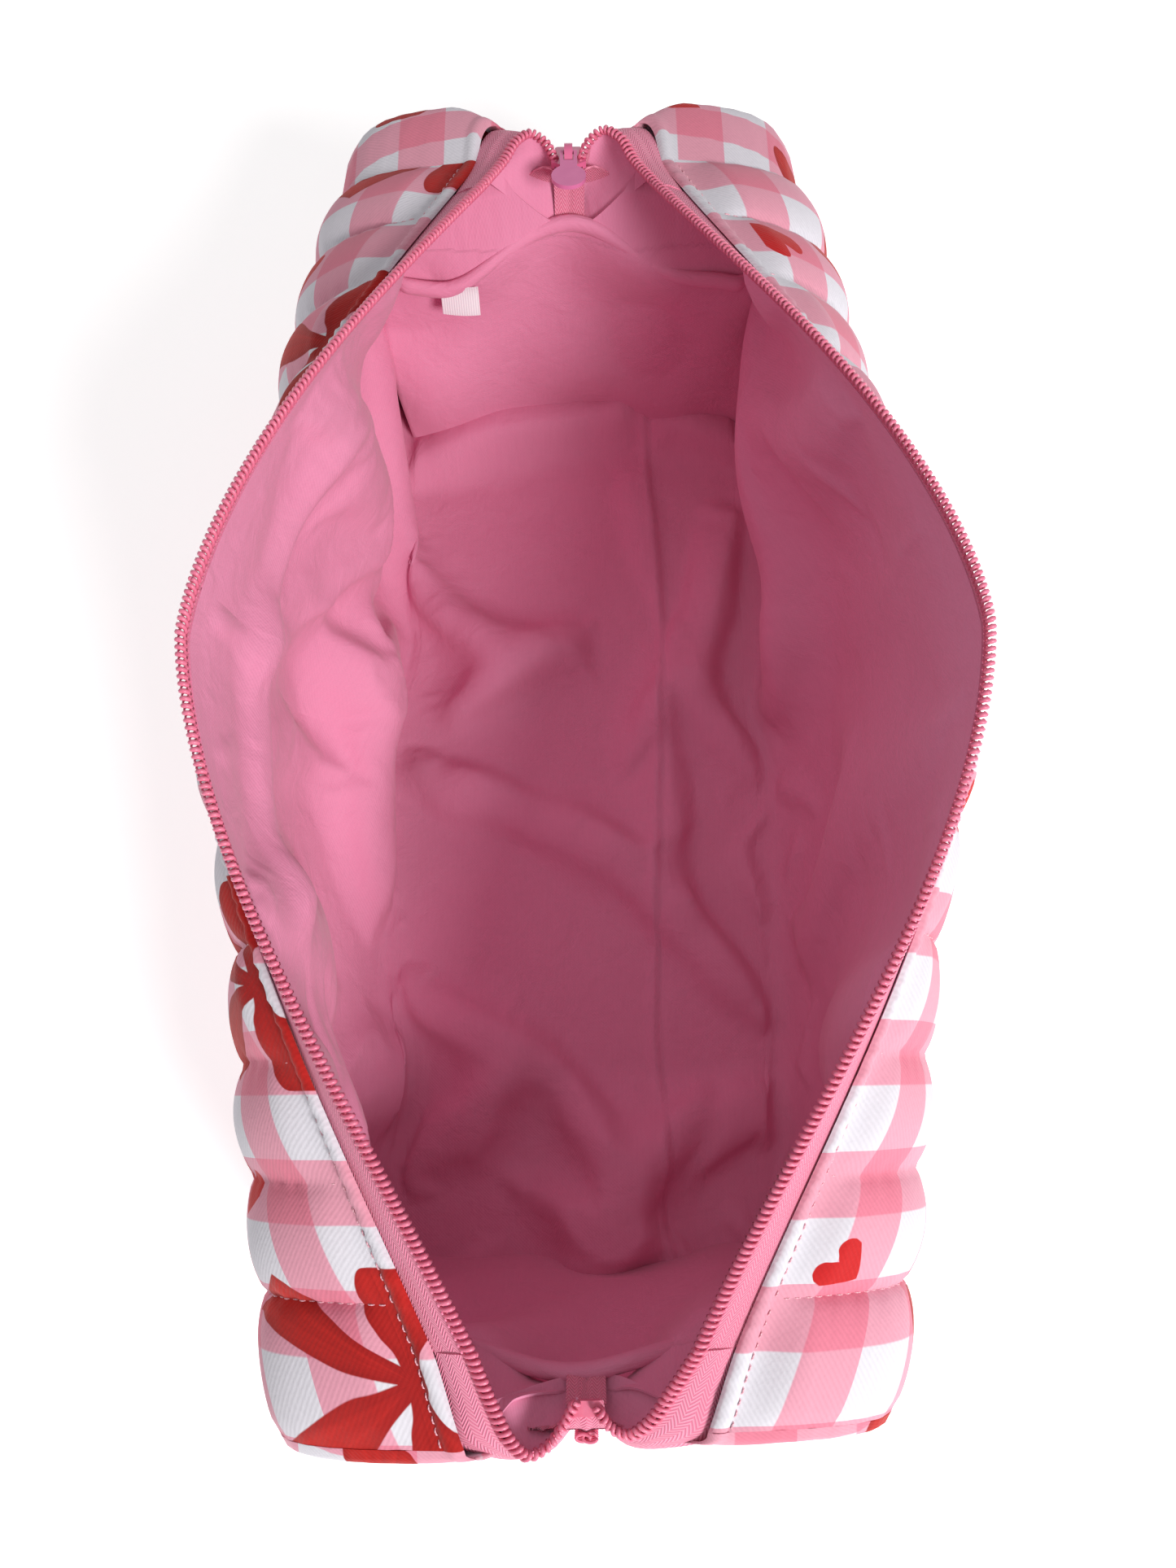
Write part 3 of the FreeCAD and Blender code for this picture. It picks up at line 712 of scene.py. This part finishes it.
ZONES = {
    "near_end": (-HALF, -END_ZONE, *end_start(-1)),
    "near": (-END_ZONE, PITCH / 2, -REACH, 0.0),
    "far": (PITCH / 2, END_ZONE, REACH, 0.0),
    "far_end": (END_ZONE, HALF, *end_start(1)),
}


def lean_with(obj):
    """Bakes the object's transform into its mesh."""
    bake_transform(obj)


def lean_across(obj):
    """Bakes the object's transform into its mesh."""
    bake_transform(obj)


def lean_hook(obj):
    lean_across(obj)


def rim_frame(y, to_coil):
    """On the right: a point by the rim at a distance from the coil, the way to the coil and the outward normal."""
    place, normal = side_mid(y, np.ones_like(y), to_coil)
    coil_x, coil_z = coil_at(y)
    way = np.stack([coil_x - place[..., 0], coil_z - place[..., 1]], -1)
    way /= np.linalg.norm(way, axis=-1, keepdims=True)
    return place, way, np.stack([way[..., 1], -way[..., 0]], -1)


# the zip's line round each end of the mouth and the line where its tape meets the cloth, as x, y, z on the right
FAR_SEWN = [(28.5, 139.0, 110.4), (26.4, 152.0, 107.5), (24.2, 161.0, 106.0), (20.0, 167.5, 104.3),
            (12.0, 165.5, 102.0), (3.6, 157.0, 97.0)]
HOOKS = {
    "left_far": ([(22.3, 139.0, 112.3), (17.4, 150.0, 111.6), (13.2, 158.0, 110.8), (10.0, 160.8, 109.6),
                  (6.4, 159.8, 107.6), (3.2, 154.6, 105.6)],
                 FAR_SEWN),
    "right_far": ([(22.3, 139.0, 112.3), (17.4, 150.0, 111.6), (13.4, 158.5, 110.8), (9.6, 161.6, 109.6),
                   (5.8, 160.0, 107.6), (3.0, 154.6, 105.6)],
                  FAR_SEWN),
    "left_near": ([(22.3, -139.0, 112.3), (18.6, -149.5, 110.4), (15.2, -156.6, 107.2), (11.8, -159.8, 104.8),
                   (7.8, -158.4, 103.4), (4.2, -154.0, 103.6), (1.9, -149.8, 104.8)],
                  [(28.5, -139.0, 110.4), (28.0, -149.5, 107.4), (27.0, -157.0, 104.8), (22.0, -160.0, 102.2),
                   (14.0, -161.8, 99.8), (7.0, -160.6, 97.8), (2.6, -156.5, 96.0)]),
    "right_near": ([(22.3, -139.0, 112.3), (17.0, -147.6, 110.6), (12.2, -154.0, 107.2), (8.2, -156.4, 104.8),
                    (4.8, -155.0, 103.4), (2.1, -151.0, 104.4)],
                   [(28.5, -139.0, 110.4), (27.6, -149.0, 107.2), (25.6, -156.6, 104.6), (17.0, -159.6, 101.6),
                    (8.0, -159.6, 98.8), (2.8, -156.0, 96.0)]),
}


def through(points, count):
    """A smooth line through the points, with even steps."""
    p = np.asarray(points, float)
    t = run_along(p)
    slope = np.gradient(p, t, axis=0)
    fine = np.linspace(0, t[-1], count * 4)
    i = np.clip(np.searchsorted(t, fine, side="right") - 1, 0, len(t) - 2)
    h = (t[i + 1] - t[i])[:, None]
    u = (fine - t[i])[:, None] / h
    return even_steps(spline(p[i], p[i + 1], slope[i] * h, slope[i + 1] * h, u), count)


TURN_STEPS = 10                 # points on one turn of the coil


def coil_line(low, high):
    """The coil's middle on the right between two places along the bag, with ten steps to a tooth."""
    y = np.linspace(low, high, 600)
    x, z = coil_at(y)
    line = np.stack([x, y, z], 1)
    turns = max(2, round(run_along(line)[-1] / COIL_PITCH))
    return even_steps(line, turns * TURN_STEPS + 1)


def coil_path(middle, way):
    """The monofilament's turns about a middle line: flat loops that reach over the tape's edge.

    way is the direction from the tape to the loops' heads at every point."""
    along = np.gradient(middle, axis=0)
    along /= np.linalg.norm(along, axis=1, keepdims=True)
    way = way - along * np.sum(way * along, 1, keepdims=True)
    way /= np.linalg.norm(way, axis=1, keepdims=True)
    up = np.cross(along, way)
    turn = np.arange(len(middle)) * 2 * math.pi / TURN_STEPS
    loop = middle + way * (1.3 * np.cos(turn))[:, None] + up * (0.8 * np.sin(turn))[:, None]
    radius = 0.44 + 0.10 * np.clip(np.cos(turn), 0, 1) ** 2
    return loop, radius


def mirrored(points, side):
    out = np.array(points, float)
    out[..., 0] *= side
    return out


def stitches(line, outward, length=1.9, gap=0.5, lift=0.05, radius=0.17):
    """Separate stitches along a line: each dips into the cloth at both ends."""
    run = run_along(line)
    paths, radii = [], []
    at = gap
    while at + length < run[-1]:
        places = np.linspace(at, at + length, 5)
        rise = np.array([-0.25, lift, lift + 0.06, lift, -0.25])
        paths.append(at_distance(line, run, places) + at_distance(outward, run, places) * rise[:, None])
        radii.append(radius * np.array([0.7, 1.0, 1.0, 1.0, 0.7]))
        at += length + gap
    return paths, radii


def outward_of(surface, side, y, s):
    """Points and outward normals of a surface function along a line."""
    e = 0.25
    place = surface(side, y, s)
    dy = surface(side, y + e, s) - surface(side, y - e, s)
    ds = surface(side, y, np.minimum(s + 0.002, 1)) - surface(side, y, s - 0.002)
    normal = np.cross(dy, ds) * side
    normal /= np.linalg.norm(normal, axis=-1, keepdims=True) + 1e-9
    return place, normal


def zone_rows(low, high):
    count = max(2, int(round((high - low) / 1.45)) + 1)
    return np.linspace(low, high, count)


EDGE_STEPS = np.array([5.2, 4.4, 3.8, 3.4, 3.2, 2.8, 2.3, 1.7, 1.1, 0.6, 0.3, 0.1, 0.0])   # below the rolled edge
S_OUTER = np.concatenate([np.linspace(0, 0.955, 84), 1 - EDGE_STEPS / GIRTH])
RIGHT_CLOTH = 127.0             # where the right side's cloth starts in the print's repeat
WALL = 60                       # lining columns on each wall
settled, girth, lining_inward = settle_lining()


def printed_zone(name, side, low, high):
    yy, ss = np.meshgrid(zone_rows(low, high), S_OUTER, indexing="ij")
    points = printed_side(side, yy, ss)
    smooth_side = side_mid(yy, ss, RIM_TO_COIL)[0]
    cloth = flat_cloth(yy, row_length(smooth_side) + (0 if side < 0 else RIGHT_CLOTH))
    outer = grid_object(f"{name}_printed_cloth", points, cloth, TWILL, 0.6, flip=side > 0)
    return outer


def lining_zone(name, side, low, high):
    first, last = (int(round((v + HALF) / (PITCH / 10))) for v in (low, high))
    columns = slice(0, WALL + 1) if side < 0 else slice(LINING_COLUMNS - 1 - WALL, None)
    points = bowed(finer(settled[first:last + 1, columns]))
    run = finer(girth[first:last + 1, columns][..., None])[..., 0]
    lining = grid_object(f"{name}_lining", points, flat_cloth(points[..., 1], run), LINING, 0.4, flip=False)
    return lining


def stitch_zone(name, side, low, high):
    """The thread of the quilting seams and of the topstitch below the rolled edge."""
    paths, radii = [], []
    seams = [k * PITCH for k in np.arange(-5.5, 6) if low - 0.1 <= k * PITCH < high - 0.1 or
             (low == -HALF and abs(k * PITCH - high) < 0.1)]
    if low == -END_ZONE:
        seams = [k for k in seams if k > low + 0.1]
    for seam in seams:
        s = np.linspace(0.03, 0.972, 160)
        p, r = stitches(*outward_of(printed_side, side, np.full_like(s, seam), s))
        paths += p
        radii += r
    along = np.linspace(low, high, max(40, int((high - low) * 1.2)))
    s = np.full_like(along, 1 - 3.5 / GIRTH)
    p, r = stitches(*outward_of(printed_side, side, along, s), lift=0.2)
    thread = tubes_object(f"{name}_stitches", paths + p, radii + r, THREAD, 5)
    return thread


def tape_zone(name, side, low, high):
    y = zone_rows(low, high)
    rim, way, normal = rim_frame(y, RIM_TO_COIL)
    reach = np.array([-3.5, -0.5, 1.0, 2.5, 4.0, 5.4, 6.6])
    belly = 0.35 * np.sin(np.clip(reach, 0, 6.6) / 6.6 * math.pi)
    spots = rim[:, None] + way[:, None] * reach[None, :, None] - normal[:, None] * (0.35 - belly)[None, :, None]
    points = bowed(np.stack([side * spots[..., 0], np.repeat(y[:, None], len(reach), 1), spots[..., 1]], -1))
    cloth = flat_cloth(run_along(points[:, 0])[:, None], reach[None])
    tape = grid_object(f"{name}_zip_tape", points, cloth, TAPE, 0.45, flip=side > 0)
    return tape


def coil_zone(name, side, low, high):
    """The zip's coil, and the stitches that hold it on both faces of the tape."""
    middle = coil_line(low, high)
    _, way, _ = rim_frame(middle[:, 1], RIM_TO_COIL)
    way = np.stack([way[:, 0], np.zeros(len(way)), way[:, 1]], 1)
    loop, radius = coil_path(middle, way)
    coil = tubes_object(f"{name}_zip_coil", [bowed(mirrored(loop, side))], [radius], COIL, 6)
    cord = middle - way * 1.1
    outward = np.stack([way[:, 2], np.zeros(len(way)), -way[:, 0]], 1)
    paths, radii = [], []
    for face in (1, -1):
        p, r = stitches(bowed(mirrored(cord + outward * 0.8 * face, side)), mirrored(face * outward, side),
                        1.0, 0.5, 0.1, 0.24)
        paths += p
        radii += r
    sewn = tubes_object(f"{name}_coil_stitches", paths, radii, PINK_THREAD, 5)
    return coil, sewn


def make_zone(side_name, zone):
    """One zone of a side: its cloth, lining, thread, tape and coil, each with its transform baked in."""
    low, high = ZONES[zone][:2]
    place = (f"{side_name}_{zone}", SIDES[side_name])
    zip_span = (max(low, -HOOK_Y), min(high, HOOK_Y))
    made = [make(*place, low, high) for make in (printed_zone, lining_zone, stitch_zone)]
    made += [tape_zone(*place, *zip_span), *coil_zone(*place, *zip_span)]
    for piece in made:
        lean_with(piece)
    return made


# ---------------------------------------------------------------- ends of the zip

def make_hook(side_name, end_name):
    """The last turn of the zip at one end of the mouth, with its tape fanning out to the cloth."""
    side = SIDES[side_name]
    hook, sewn = HOOKS[f"{side_name}_{end_name}"]
    end = 1 if end_name == "far" else -1
    first = np.array([HOOK_Y * end])
    start, _, _ = rim_frame(first, RIM_TO_COIL)
    sewn = [(start[0, 0], first[0], start[0, 1] - 0.4)] + sewn[1:]
    x, z = coil_at(first)
    hook = [(x[0], first[0], z[0])] + hook[1:]
    count = max(2, round(run_along(np.asarray(hook))[-1] / COIL_PITCH)) * TURN_STEPS + 1
    middle = through(hook, count)
    rim = through(sewn, count)
    way = middle - rim
    way /= np.linalg.norm(way, axis=1, keepdims=True)
    loop, radius = coil_path(middle, way)
    coil = tubes_object(f"{side_name}_{end_name}_coil_end", [mirrored(loop, side)], [radius], COIL, 6)
    pick = np.linspace(0, count - 1, 26).astype(int)
    edge = middle[pick] - way[pick] * 1.3
    reach = np.linspace(0, 1, 7)
    points = rim[pick][:, None] + (edge - rim[pick])[:, None] * reach[None, :, None]
    points[..., 2] += 0.8 * np.sin(reach * math.pi)[None]
    cloth = flat_cloth(run_along(middle[pick])[:, None], reach[None] * 7.0)
    tape = grid_object(f"{side_name}_{end_name}_tape_end", mirrored(points, side), cloth, TAPE, 0.45,
                       flip=(side > 0) == (end > 0))
    for piece, slot in ((coil, "zip_coil"), (tape, "zip_tape")):
        lean_hook(piece)


# ---------------------------------------------------------------- base and ends

def end_outline(s):
    """The printed side's outline at the last seam, on the right: x and z at share s."""
    points = printed_side(1, np.full_like(s, HALF), s)
    return points[:, 0], points[:, 2]


def seam_line(x, end):
    """Where the lining's end seam runs: its height and how far inside the end it hangs, both varying with x."""
    aside = smooth(np.abs(x) / 38.0)
    return (92.0 - 13.0 * aside, 5.0 + 10.0 * aside) if end > 0 else (90.0 - 8.0 * aside, 4.5 + 6.0 * aside)


def lining_hang(x, z, end):
    """The end seam's height, and how far inside the end the lining hangs at x and z."""
    seam_at, depth_at = seam_line(x, end)
    above = np.clip((z - seam_at) / (108 - seam_at), 0, 1)
    below = np.clip((seam_at - z) / seam_at, 0, 1)
    return seam_at, depth_at * np.where(z > seam_at, (1 - above) ** 0.9, 1 - 0.5 * below) + 16.0 * below**1.3


def make_lobe(side_name, end_name):
    """The lining inside the last turn of the zip: a small pocket from the coil down to the end seam."""
    side, end = SIDES[side_name], 1 if end_name == "far" else -1
    hook = through(HOOKS[f"{side_name}_{end_name}"][0], 60)
    hook = hook[np.abs(hook[:, 1]) > 147.0 if end > 0 else hook[:, 1] < -145.0]
    u = np.linspace(0, 1, 34)
    steps = np.linspace(0, 1, len(hook))
    top = at_distance(hook, steps, u) - [0, 0, 1.1]
    top[:, 1] -= end * 0.4
    foot_x, foot_z = mix(22.0, 0.0, u), mix(104.0, 87.0, u)
    foot = np.stack([foot_x, end * (HALF - 0.3 - lining_hang(foot_x, foot_z, end)[1]), foot_z], 1)
    v = np.linspace(0, 1, 26)
    points = top[:, None] + (foot - top)[:, None] * v[None, :, None]
    waves = ripple(points[..., 0], points[..., 2], 71 + side, 5.0)
    points[..., 1] += end * (2.6 * np.sin(math.pi * v) + 0.5 * waves * v)
    points[..., 0] += 1.5 * np.sin(math.pi * v)[None] * (1 - u)[:, None]
    cloth = flat_cloth(points[..., 2], points[..., 0] * side)
    obj = grid_object(f"{side_name}_{end_name}_lobe_lining", mirrored(points, side), cloth, LINING, 0.4,
                      flip=side * end > 0)
    lean_hook(obj)


def end_panel(side_name, end_name, depth, offset, material, name, inner=False):
    """Half an end panel: a grid from the outline to the middle, domed and quilted across."""
    side = SIDES[side_name]
    end = 1 if end_name == "far" else -1
    s = np.concatenate([np.linspace(0, 0.955, 84), np.linspace(0.96, 1.0, 8)])
    out_x, out_z = end_outline(s)
    if inner:
        place, normal = side_mid(np.full_like(s, HALF), s, LINING_TO_COIL)
        out_x, out_z = place[:, 0] - normal[:, 0] * 3.2, np.maximum(place[:, 1] - normal[:, 1] * 3.2, 7.6)
    k = np.linspace(0, 1, 44)
    if inner:
        rows = [np.arange(len(s))]
    else:
        cut = int(np.argmin(np.abs(out_z - SEAM_Z) + 100.0 * (s > 0.9)))
        rows = [np.arange(cut + 1), np.arange(cut, len(s))]
    name = f"{side_name}_{end_name}_panel_{name}"
    return [end_part(side, end, depth, offset, material, name + ("_upper" if part else ""), inner, part,
                     s[r], out_x[r], out_z[r], k) for part, r in enumerate(rows)]


def end_part(side, end, depth, offset, material, name, inner, upper, s, out_x, out_z, k):
    """One patch of an end panel: below the end seam, or above it beside the zip."""
    climb = (s - s[0]) / (s[-1] - s[0])
    if inner:
        centre_x, centre_z = 0 * s, 7.6 + 82.0 * climb
    elif upper:
        centre_x, centre_z = 0 * s + 10.5, SEAM_Z + (14.0 if end > 0 else 11.0) * climb
    else:
        centre_x, centre_z = 0 * s, 2.0 + (SEAM_Z - 2.0) * climb
    x = out_x[:, None] + (centre_x - out_x)[:, None] * k[None]
    z = out_z[:, None] + (centre_z - out_z)[:, None] * k[None] ** 0.8
    distance = np.hypot(x - out_x[:, None], z - out_z[:, None])
    low_edge = np.clip(z / 8.0, 0, 1)
    round_by = mix(10.0, 7.0, smooth((z - 84) / 8)) if end > 0 else 5.0
    dome = np.sqrt(np.clip(1 - (1 - np.clip(distance / round_by, 0, 1)) ** 2, 0, 1)) * np.sqrt(
        np.clip(1 - (1 - low_edge) ** 2, 0, 1))
    depth = depth * mix(0.6, 1.0, smooth((z - 80) / 16)) * mix(
        1.0, mix(0.45, 1.0, smooth((np.abs(x) - 9) / 24)), smooth((z - 68) / 20))
    seam = np.abs(z - SEAM_Z)
    c = np.mod(z / PITCH, 1.0)
    crown = np.where(z < SEAM_Z - 17, np.sin(np.pi * c) ** 0.6, 1.0)
    pinch = np.exp(-((seam / 3.0) ** 2))
    y = HALF + offset + depth * dome + (1.8 * (crown - 1) - 3.0 * pinch) * smooth(distance / 9.0)
    y = y + 0.7 * ripple(x * side, z, 51 + end, 15.0) * smooth(distance / 9.0)
    if inner:
        seam_at, hang = lining_hang(x, z, end)
        folds = np.clip(ripple(x * side, z * 0.5, 61 + end, 9.0), -0.5, 2) * (4.0 if end > 0 else 6.5)
        y = HALF - 0.5 - (hang + folds * smooth((seam_at - z + 14) / 20)) * smooth(distance / 6.0)
    points = np.stack([side * x, end * y, z], -1)
    cloth = flat_cloth(end * (HALF + (110 - z) + (y - HALF) * (z > SEAM_Z)), side * x + 110.0)
    obj = grid_object(name, points, cloth, material, 0.5, flip=(side * end < 0) != inner)
    if upper:
        lean_with(obj)
    else:
        lean_across(obj)
    return obj


def make_base():
    """The base: printed cloth underneath with its edges turned up, and the lining lying slack on top."""
    y = np.linspace(-HALF - 1.5, HALF + 3.0, 214)
    u = np.linspace(-1, 1, 61)
    yy, uu = np.meshgrid(y, u, indexing="ij")
    x = uu * 66.5
    curl = np.clip((np.abs(x) - 58.0) / 8.5, 0, 1)
    end_curl = np.clip((np.abs(yy) - HALF + 2.0) / 6.0, 0, 1)
    z = 0.65 + 1.3 * (1 - channel_crown(yy)) + 4.6 * (1 - np.sqrt(1 - curl**2 * 0.98)) + 5.0 * (
        1 - np.sqrt(1 - end_curl**2 * 0.98))
    x = x * (1 - 0.03 * end_curl)
    points = np.stack([x, yy, z], -1)
    cloth = flat_cloth(yy, x + 30.0)
    printed = grid_object("base_printed_cloth", points, cloth, TWILL, 0.6, flip=True)
    overlap = 2
    columns = slice(WALL - overlap, LINING_COLUMNS - WALL + overlap)
    points = settled[:, columns].copy()
    under = np.zeros(points.shape[1])
    under[:overlap] = under[-overlap:] = 0.7
    points -= lining_inward[:, columns] * under[None, :, None]
    points = finer(points)
    run = finer(girth[:, columns][..., None])[..., 0]
    seam_at = 24.0 + 2.5 * np.sin(points[..., 1] / 40.0)
    points[..., 2] += 0.9 * np.exp(-(((run - seam_at) / 1.2) ** 2)) - 0.7 * np.exp(
        -(((run - seam_at - 2.2) / 0.9) ** 2))
    lining = grid_object("base_lining_cloth", points, flat_cloth(points[..., 1], run), LINING, 0.4, flip=False)
    for piece in (printed, lining):
        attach(piece, "bag_body")
    return printed, lining


def make_chain(end_name):
    """The closed end of the zip down an end panel: two tapes edge to edge, the coil meshed outside them."""
    end = 1 if end_name == "far" else -1
    top = 104.0 if end > 0 else 101.0
    middle_y = HALF + (2.6 if end > 0 else 3.0)
    rise = np.array([84, 88, 92, 96, 100, top - 1.5, top, top + 0.8, top + 1.3, top + 1.5])
    out = middle_y + np.array([0, 0, 0, 0, 0, 0, -0.6, -2.0, -3.6, -6.0])
    half = np.array([13, 13, 13, 13, 12, 9, 7, 5, 4, 3.6])
    share = np.linspace(-1, 1, 27)
    zz, uu = np.repeat(rise[:, None], 27, 1), half[:, None] * share[None]
    y = out[:, None] + 0.5 * np.exp(-((uu / 0.7) ** 2))
    points = np.stack([uu, end * y, zz], -1)
    cloth = flat_cloth(zz + np.abs(out[:, None] - out[0]), uu)
    tape = grid_object(f"{end_name}_closed_tape", points, cloth, TAPE, 0.5, flip=end > 0)
    turns = int((top - 84) / COIL_PITCH)
    t = np.arange(turns * 12 + 1)
    coils = []
    for hand in (-1, 1):
        turn = t * 2 * math.pi / 12 + (0 if hand > 0 else math.pi)
        coils.append(np.stack([hand * (0.7 + 1.5 * np.cos(turn)), end * (middle_y + 1.6) + 0.8 * np.sin(turn),
                               84 + t * COIL_PITCH / 12], 1))
    chain = tubes_object(f"{end_name}_closed_coil", coils, [0.36, 0.36], COIL, 6)
    z = np.linspace(86.0, top - 1.0, 15)
    u = np.linspace(-4.2, 4.2, 13)
    zz, uu = np.meshgrid(z, u, indexing="ij")
    y = HALF - 6.4 + 7.0 * np.clip((zz - 90) / 15, 0, 1) + 0.6 * np.exp(-((uu / 0.6) ** 2)) + (
        2.4 * np.sin(math.pi * np.clip((zz - 90) / 15, 0, 1)) if end > 0 else 0.0)
    back = grid_object(f"{end_name}_inner_tape", np.stack([uu, end * y, zz], -1), flat_cloth(zz, uu), TAPE, 0.5,
                       flip=end < 0)
    for piece in (tape, chain, back):
        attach(piece, "bag_body")
    return tape


def make_binding(end_name):
    """The bound seam across the inside of an end, a soft folded strip."""
    end = 1 if end_name == "far" else -1
    x = np.linspace(-60, 60, 90)
    turn = np.linspace(0, 2 * math.pi, 14, endpoint=False)
    xx, tt = np.meshgrid(x, turn, indexing="ij")
    seam_at, depth_at = seam_line(xx, end)
    pinch = smooth((60 - np.abs(xx)) / 12)
    y = HALF - 1.2 - depth_at * pinch - 0.8 * np.sin(xx / 7.0) + 2.0 * np.cos(tt)
    z = seam_at + 0.6 * np.sin(xx / 5.0) + 2.6 * np.sin(tt)
    points = np.stack([xx, end * y, z], -1)
    ends = [list(range(14))[::-1], [89 * 14 + k for k in range(14)]]
    obj = mesh_object(f"{end_name}_seam_strip", points, grid_faces(90, 14, close=True) + ends, flat_cloth(xx, tt * 5))
    finish_mesh(obj, BINDING)
    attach(obj, "bag_body")
    return obj


def make_label():
    """A blank satin label, sewn in under the far end's seam."""
    x = np.linspace(-38, -27, 16)
    z = np.linspace(72, 80.5, 14)
    xx, zz = np.meshgrid(x, z, indexing="ij")
    y = HALF - 16.5 - 3.0 * smooth((80 - zz) / 9) - 1.2 * np.sin((xx + 40) / 6)
    points = np.stack([xx, y, zz], -1)
    obj = grid_object("blank_care_label", points, flat_cloth(xx, zz), LABEL, 0.25, flip=False)
    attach(obj, "bag_body")
    return obj


for side_name, side in SIDES.items():
    zones = {zone: make_zone(side_name, zone) for zone in ZONES}
    for end_name in ("far", "near"):
        make_hook(side_name, end_name)
        make_lobe(side_name, end_name)
    for end_name, depth in (("far", 22.0), ("near", 3.0)):
        shift = near_push(side) if end_name == "near" else 0.0
        panel, upper = end_panel(side_name, end_name, depth, shift, TWILL, "printed_cloth")
        lining, = end_panel(side_name, end_name, depth, 0.0, LINING, "lining", inner=True)
        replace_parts(panel, f"{end_name}_end_printed_panel", f"{end_name}_end_wadding")
        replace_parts(lining, f"{end_name}_end_lining")
    cloth, lining, _, tape, coil, _ = zones["near"]
    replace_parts(cloth, f"{side_name}_printed_side", *[f"{side_name}_wadding_channel_{n:02d}" for n in range(1, 14)])
    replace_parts(lining, f"{side_name}_lining_side")
    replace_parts(tape, f"{side_name}_zip_tape")
    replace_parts(coil, f"{side_name}_zip_coil")
base_cloth, base_lining = make_base()
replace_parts(base_cloth, "base_printed_panel", "base_wadding")
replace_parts(base_lining, "base_lining")
for end_name in ("far", "near"):
    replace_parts(make_chain(end_name), f"{end_name}_chain_end")
    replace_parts(make_binding(end_name), f"{end_name}_end_seam_binding")
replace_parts(make_label(), "care_label")

for node, material in (("slider_body", ENAMEL), ("slider_crown", ENAMEL), ("zip_pull", PULL_ENAMEL),
                       ("zip_stop", COIL)):
    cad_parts[node].data.materials.clear()
    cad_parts[node].data.materials.append(material)


# ---------------------------------------------------------------- floor, light and camera

scene = bpy.context.scene
scene.view_settings.view_transform = "Standard"

floor_mesh = bpy.data.meshes.new("floor")
floor_mesh.from_pydata([(-4, -4, 0), (4, -4, 0), (4, 4, 0), (-4, 4, 0)], [], [(0, 1, 2, 3)])
floor = bpy.data.objects.new("floor", floor_mesh)
scene.collection.objects.link(floor)
floor_material, _, floor_shader = new_material("White paper", "#FDFDFD", 0.9)
floor_shader.inputs["Emission Color"].default_value = (1, 1, 1, 1)
floor_shader.inputs["Emission Strength"].default_value = 0.5
floor.data.materials.append(floor_material)

world = bpy.data.worlds.new("Studio")
world.use_nodes = True
world.node_tree.nodes["Background"].inputs[0].default_value = (1.0, 0.98, 0.985, 1.0)
world.node_tree.nodes["Background"].inputs[1].default_value = 0.41
scene.world = world


def area_light(name, place, target, size, power, colour):
    light = bpy.data.lights.new(name, "AREA")
    light.shape = "DISK"
    light.size = size
    light.energy = power
    light.color = colour
    obj = bpy.data.objects.new(name, light)
    scene.collection.objects.link(obj)
    obj.location = place
    direction = np.array(target) - np.array(place)
    obj.rotation_euler = (math.acos(-direction[2] / np.linalg.norm(direction)), 0,
                          math.atan2(direction[0], -direction[1]) + math.pi)


area_light("Soft box near right", (0.66, -0.88, 0.92), (0, 0, 0.08), 0.45, 17.0, (1.0, 0.985, 0.97))
area_light("Soft box overhead", (-0.45, 0.35, 1.4), (0, 0, 0.08), 0.8, 0.8, (1.0, 0.98, 0.98))

camera_data = bpy.data.cameras.new("Camera")
camera_data.lens = 26.0
camera_data.sensor_width = 36.0
camera_data.sensor_fit = "AUTO"
camera = bpy.data.objects.new("Camera", camera_data)
scene.collection.objects.link(camera)
camera.location = (0.0025, -0.0884, 0.3596)
camera.rotation_euler = (math.radians(15.0), 0.0, 0.0)
camera.rotation_mode = "XYZ"
camera.rotation_euler.rotate_axis("Z", -0.0164)
scene.camera = camera
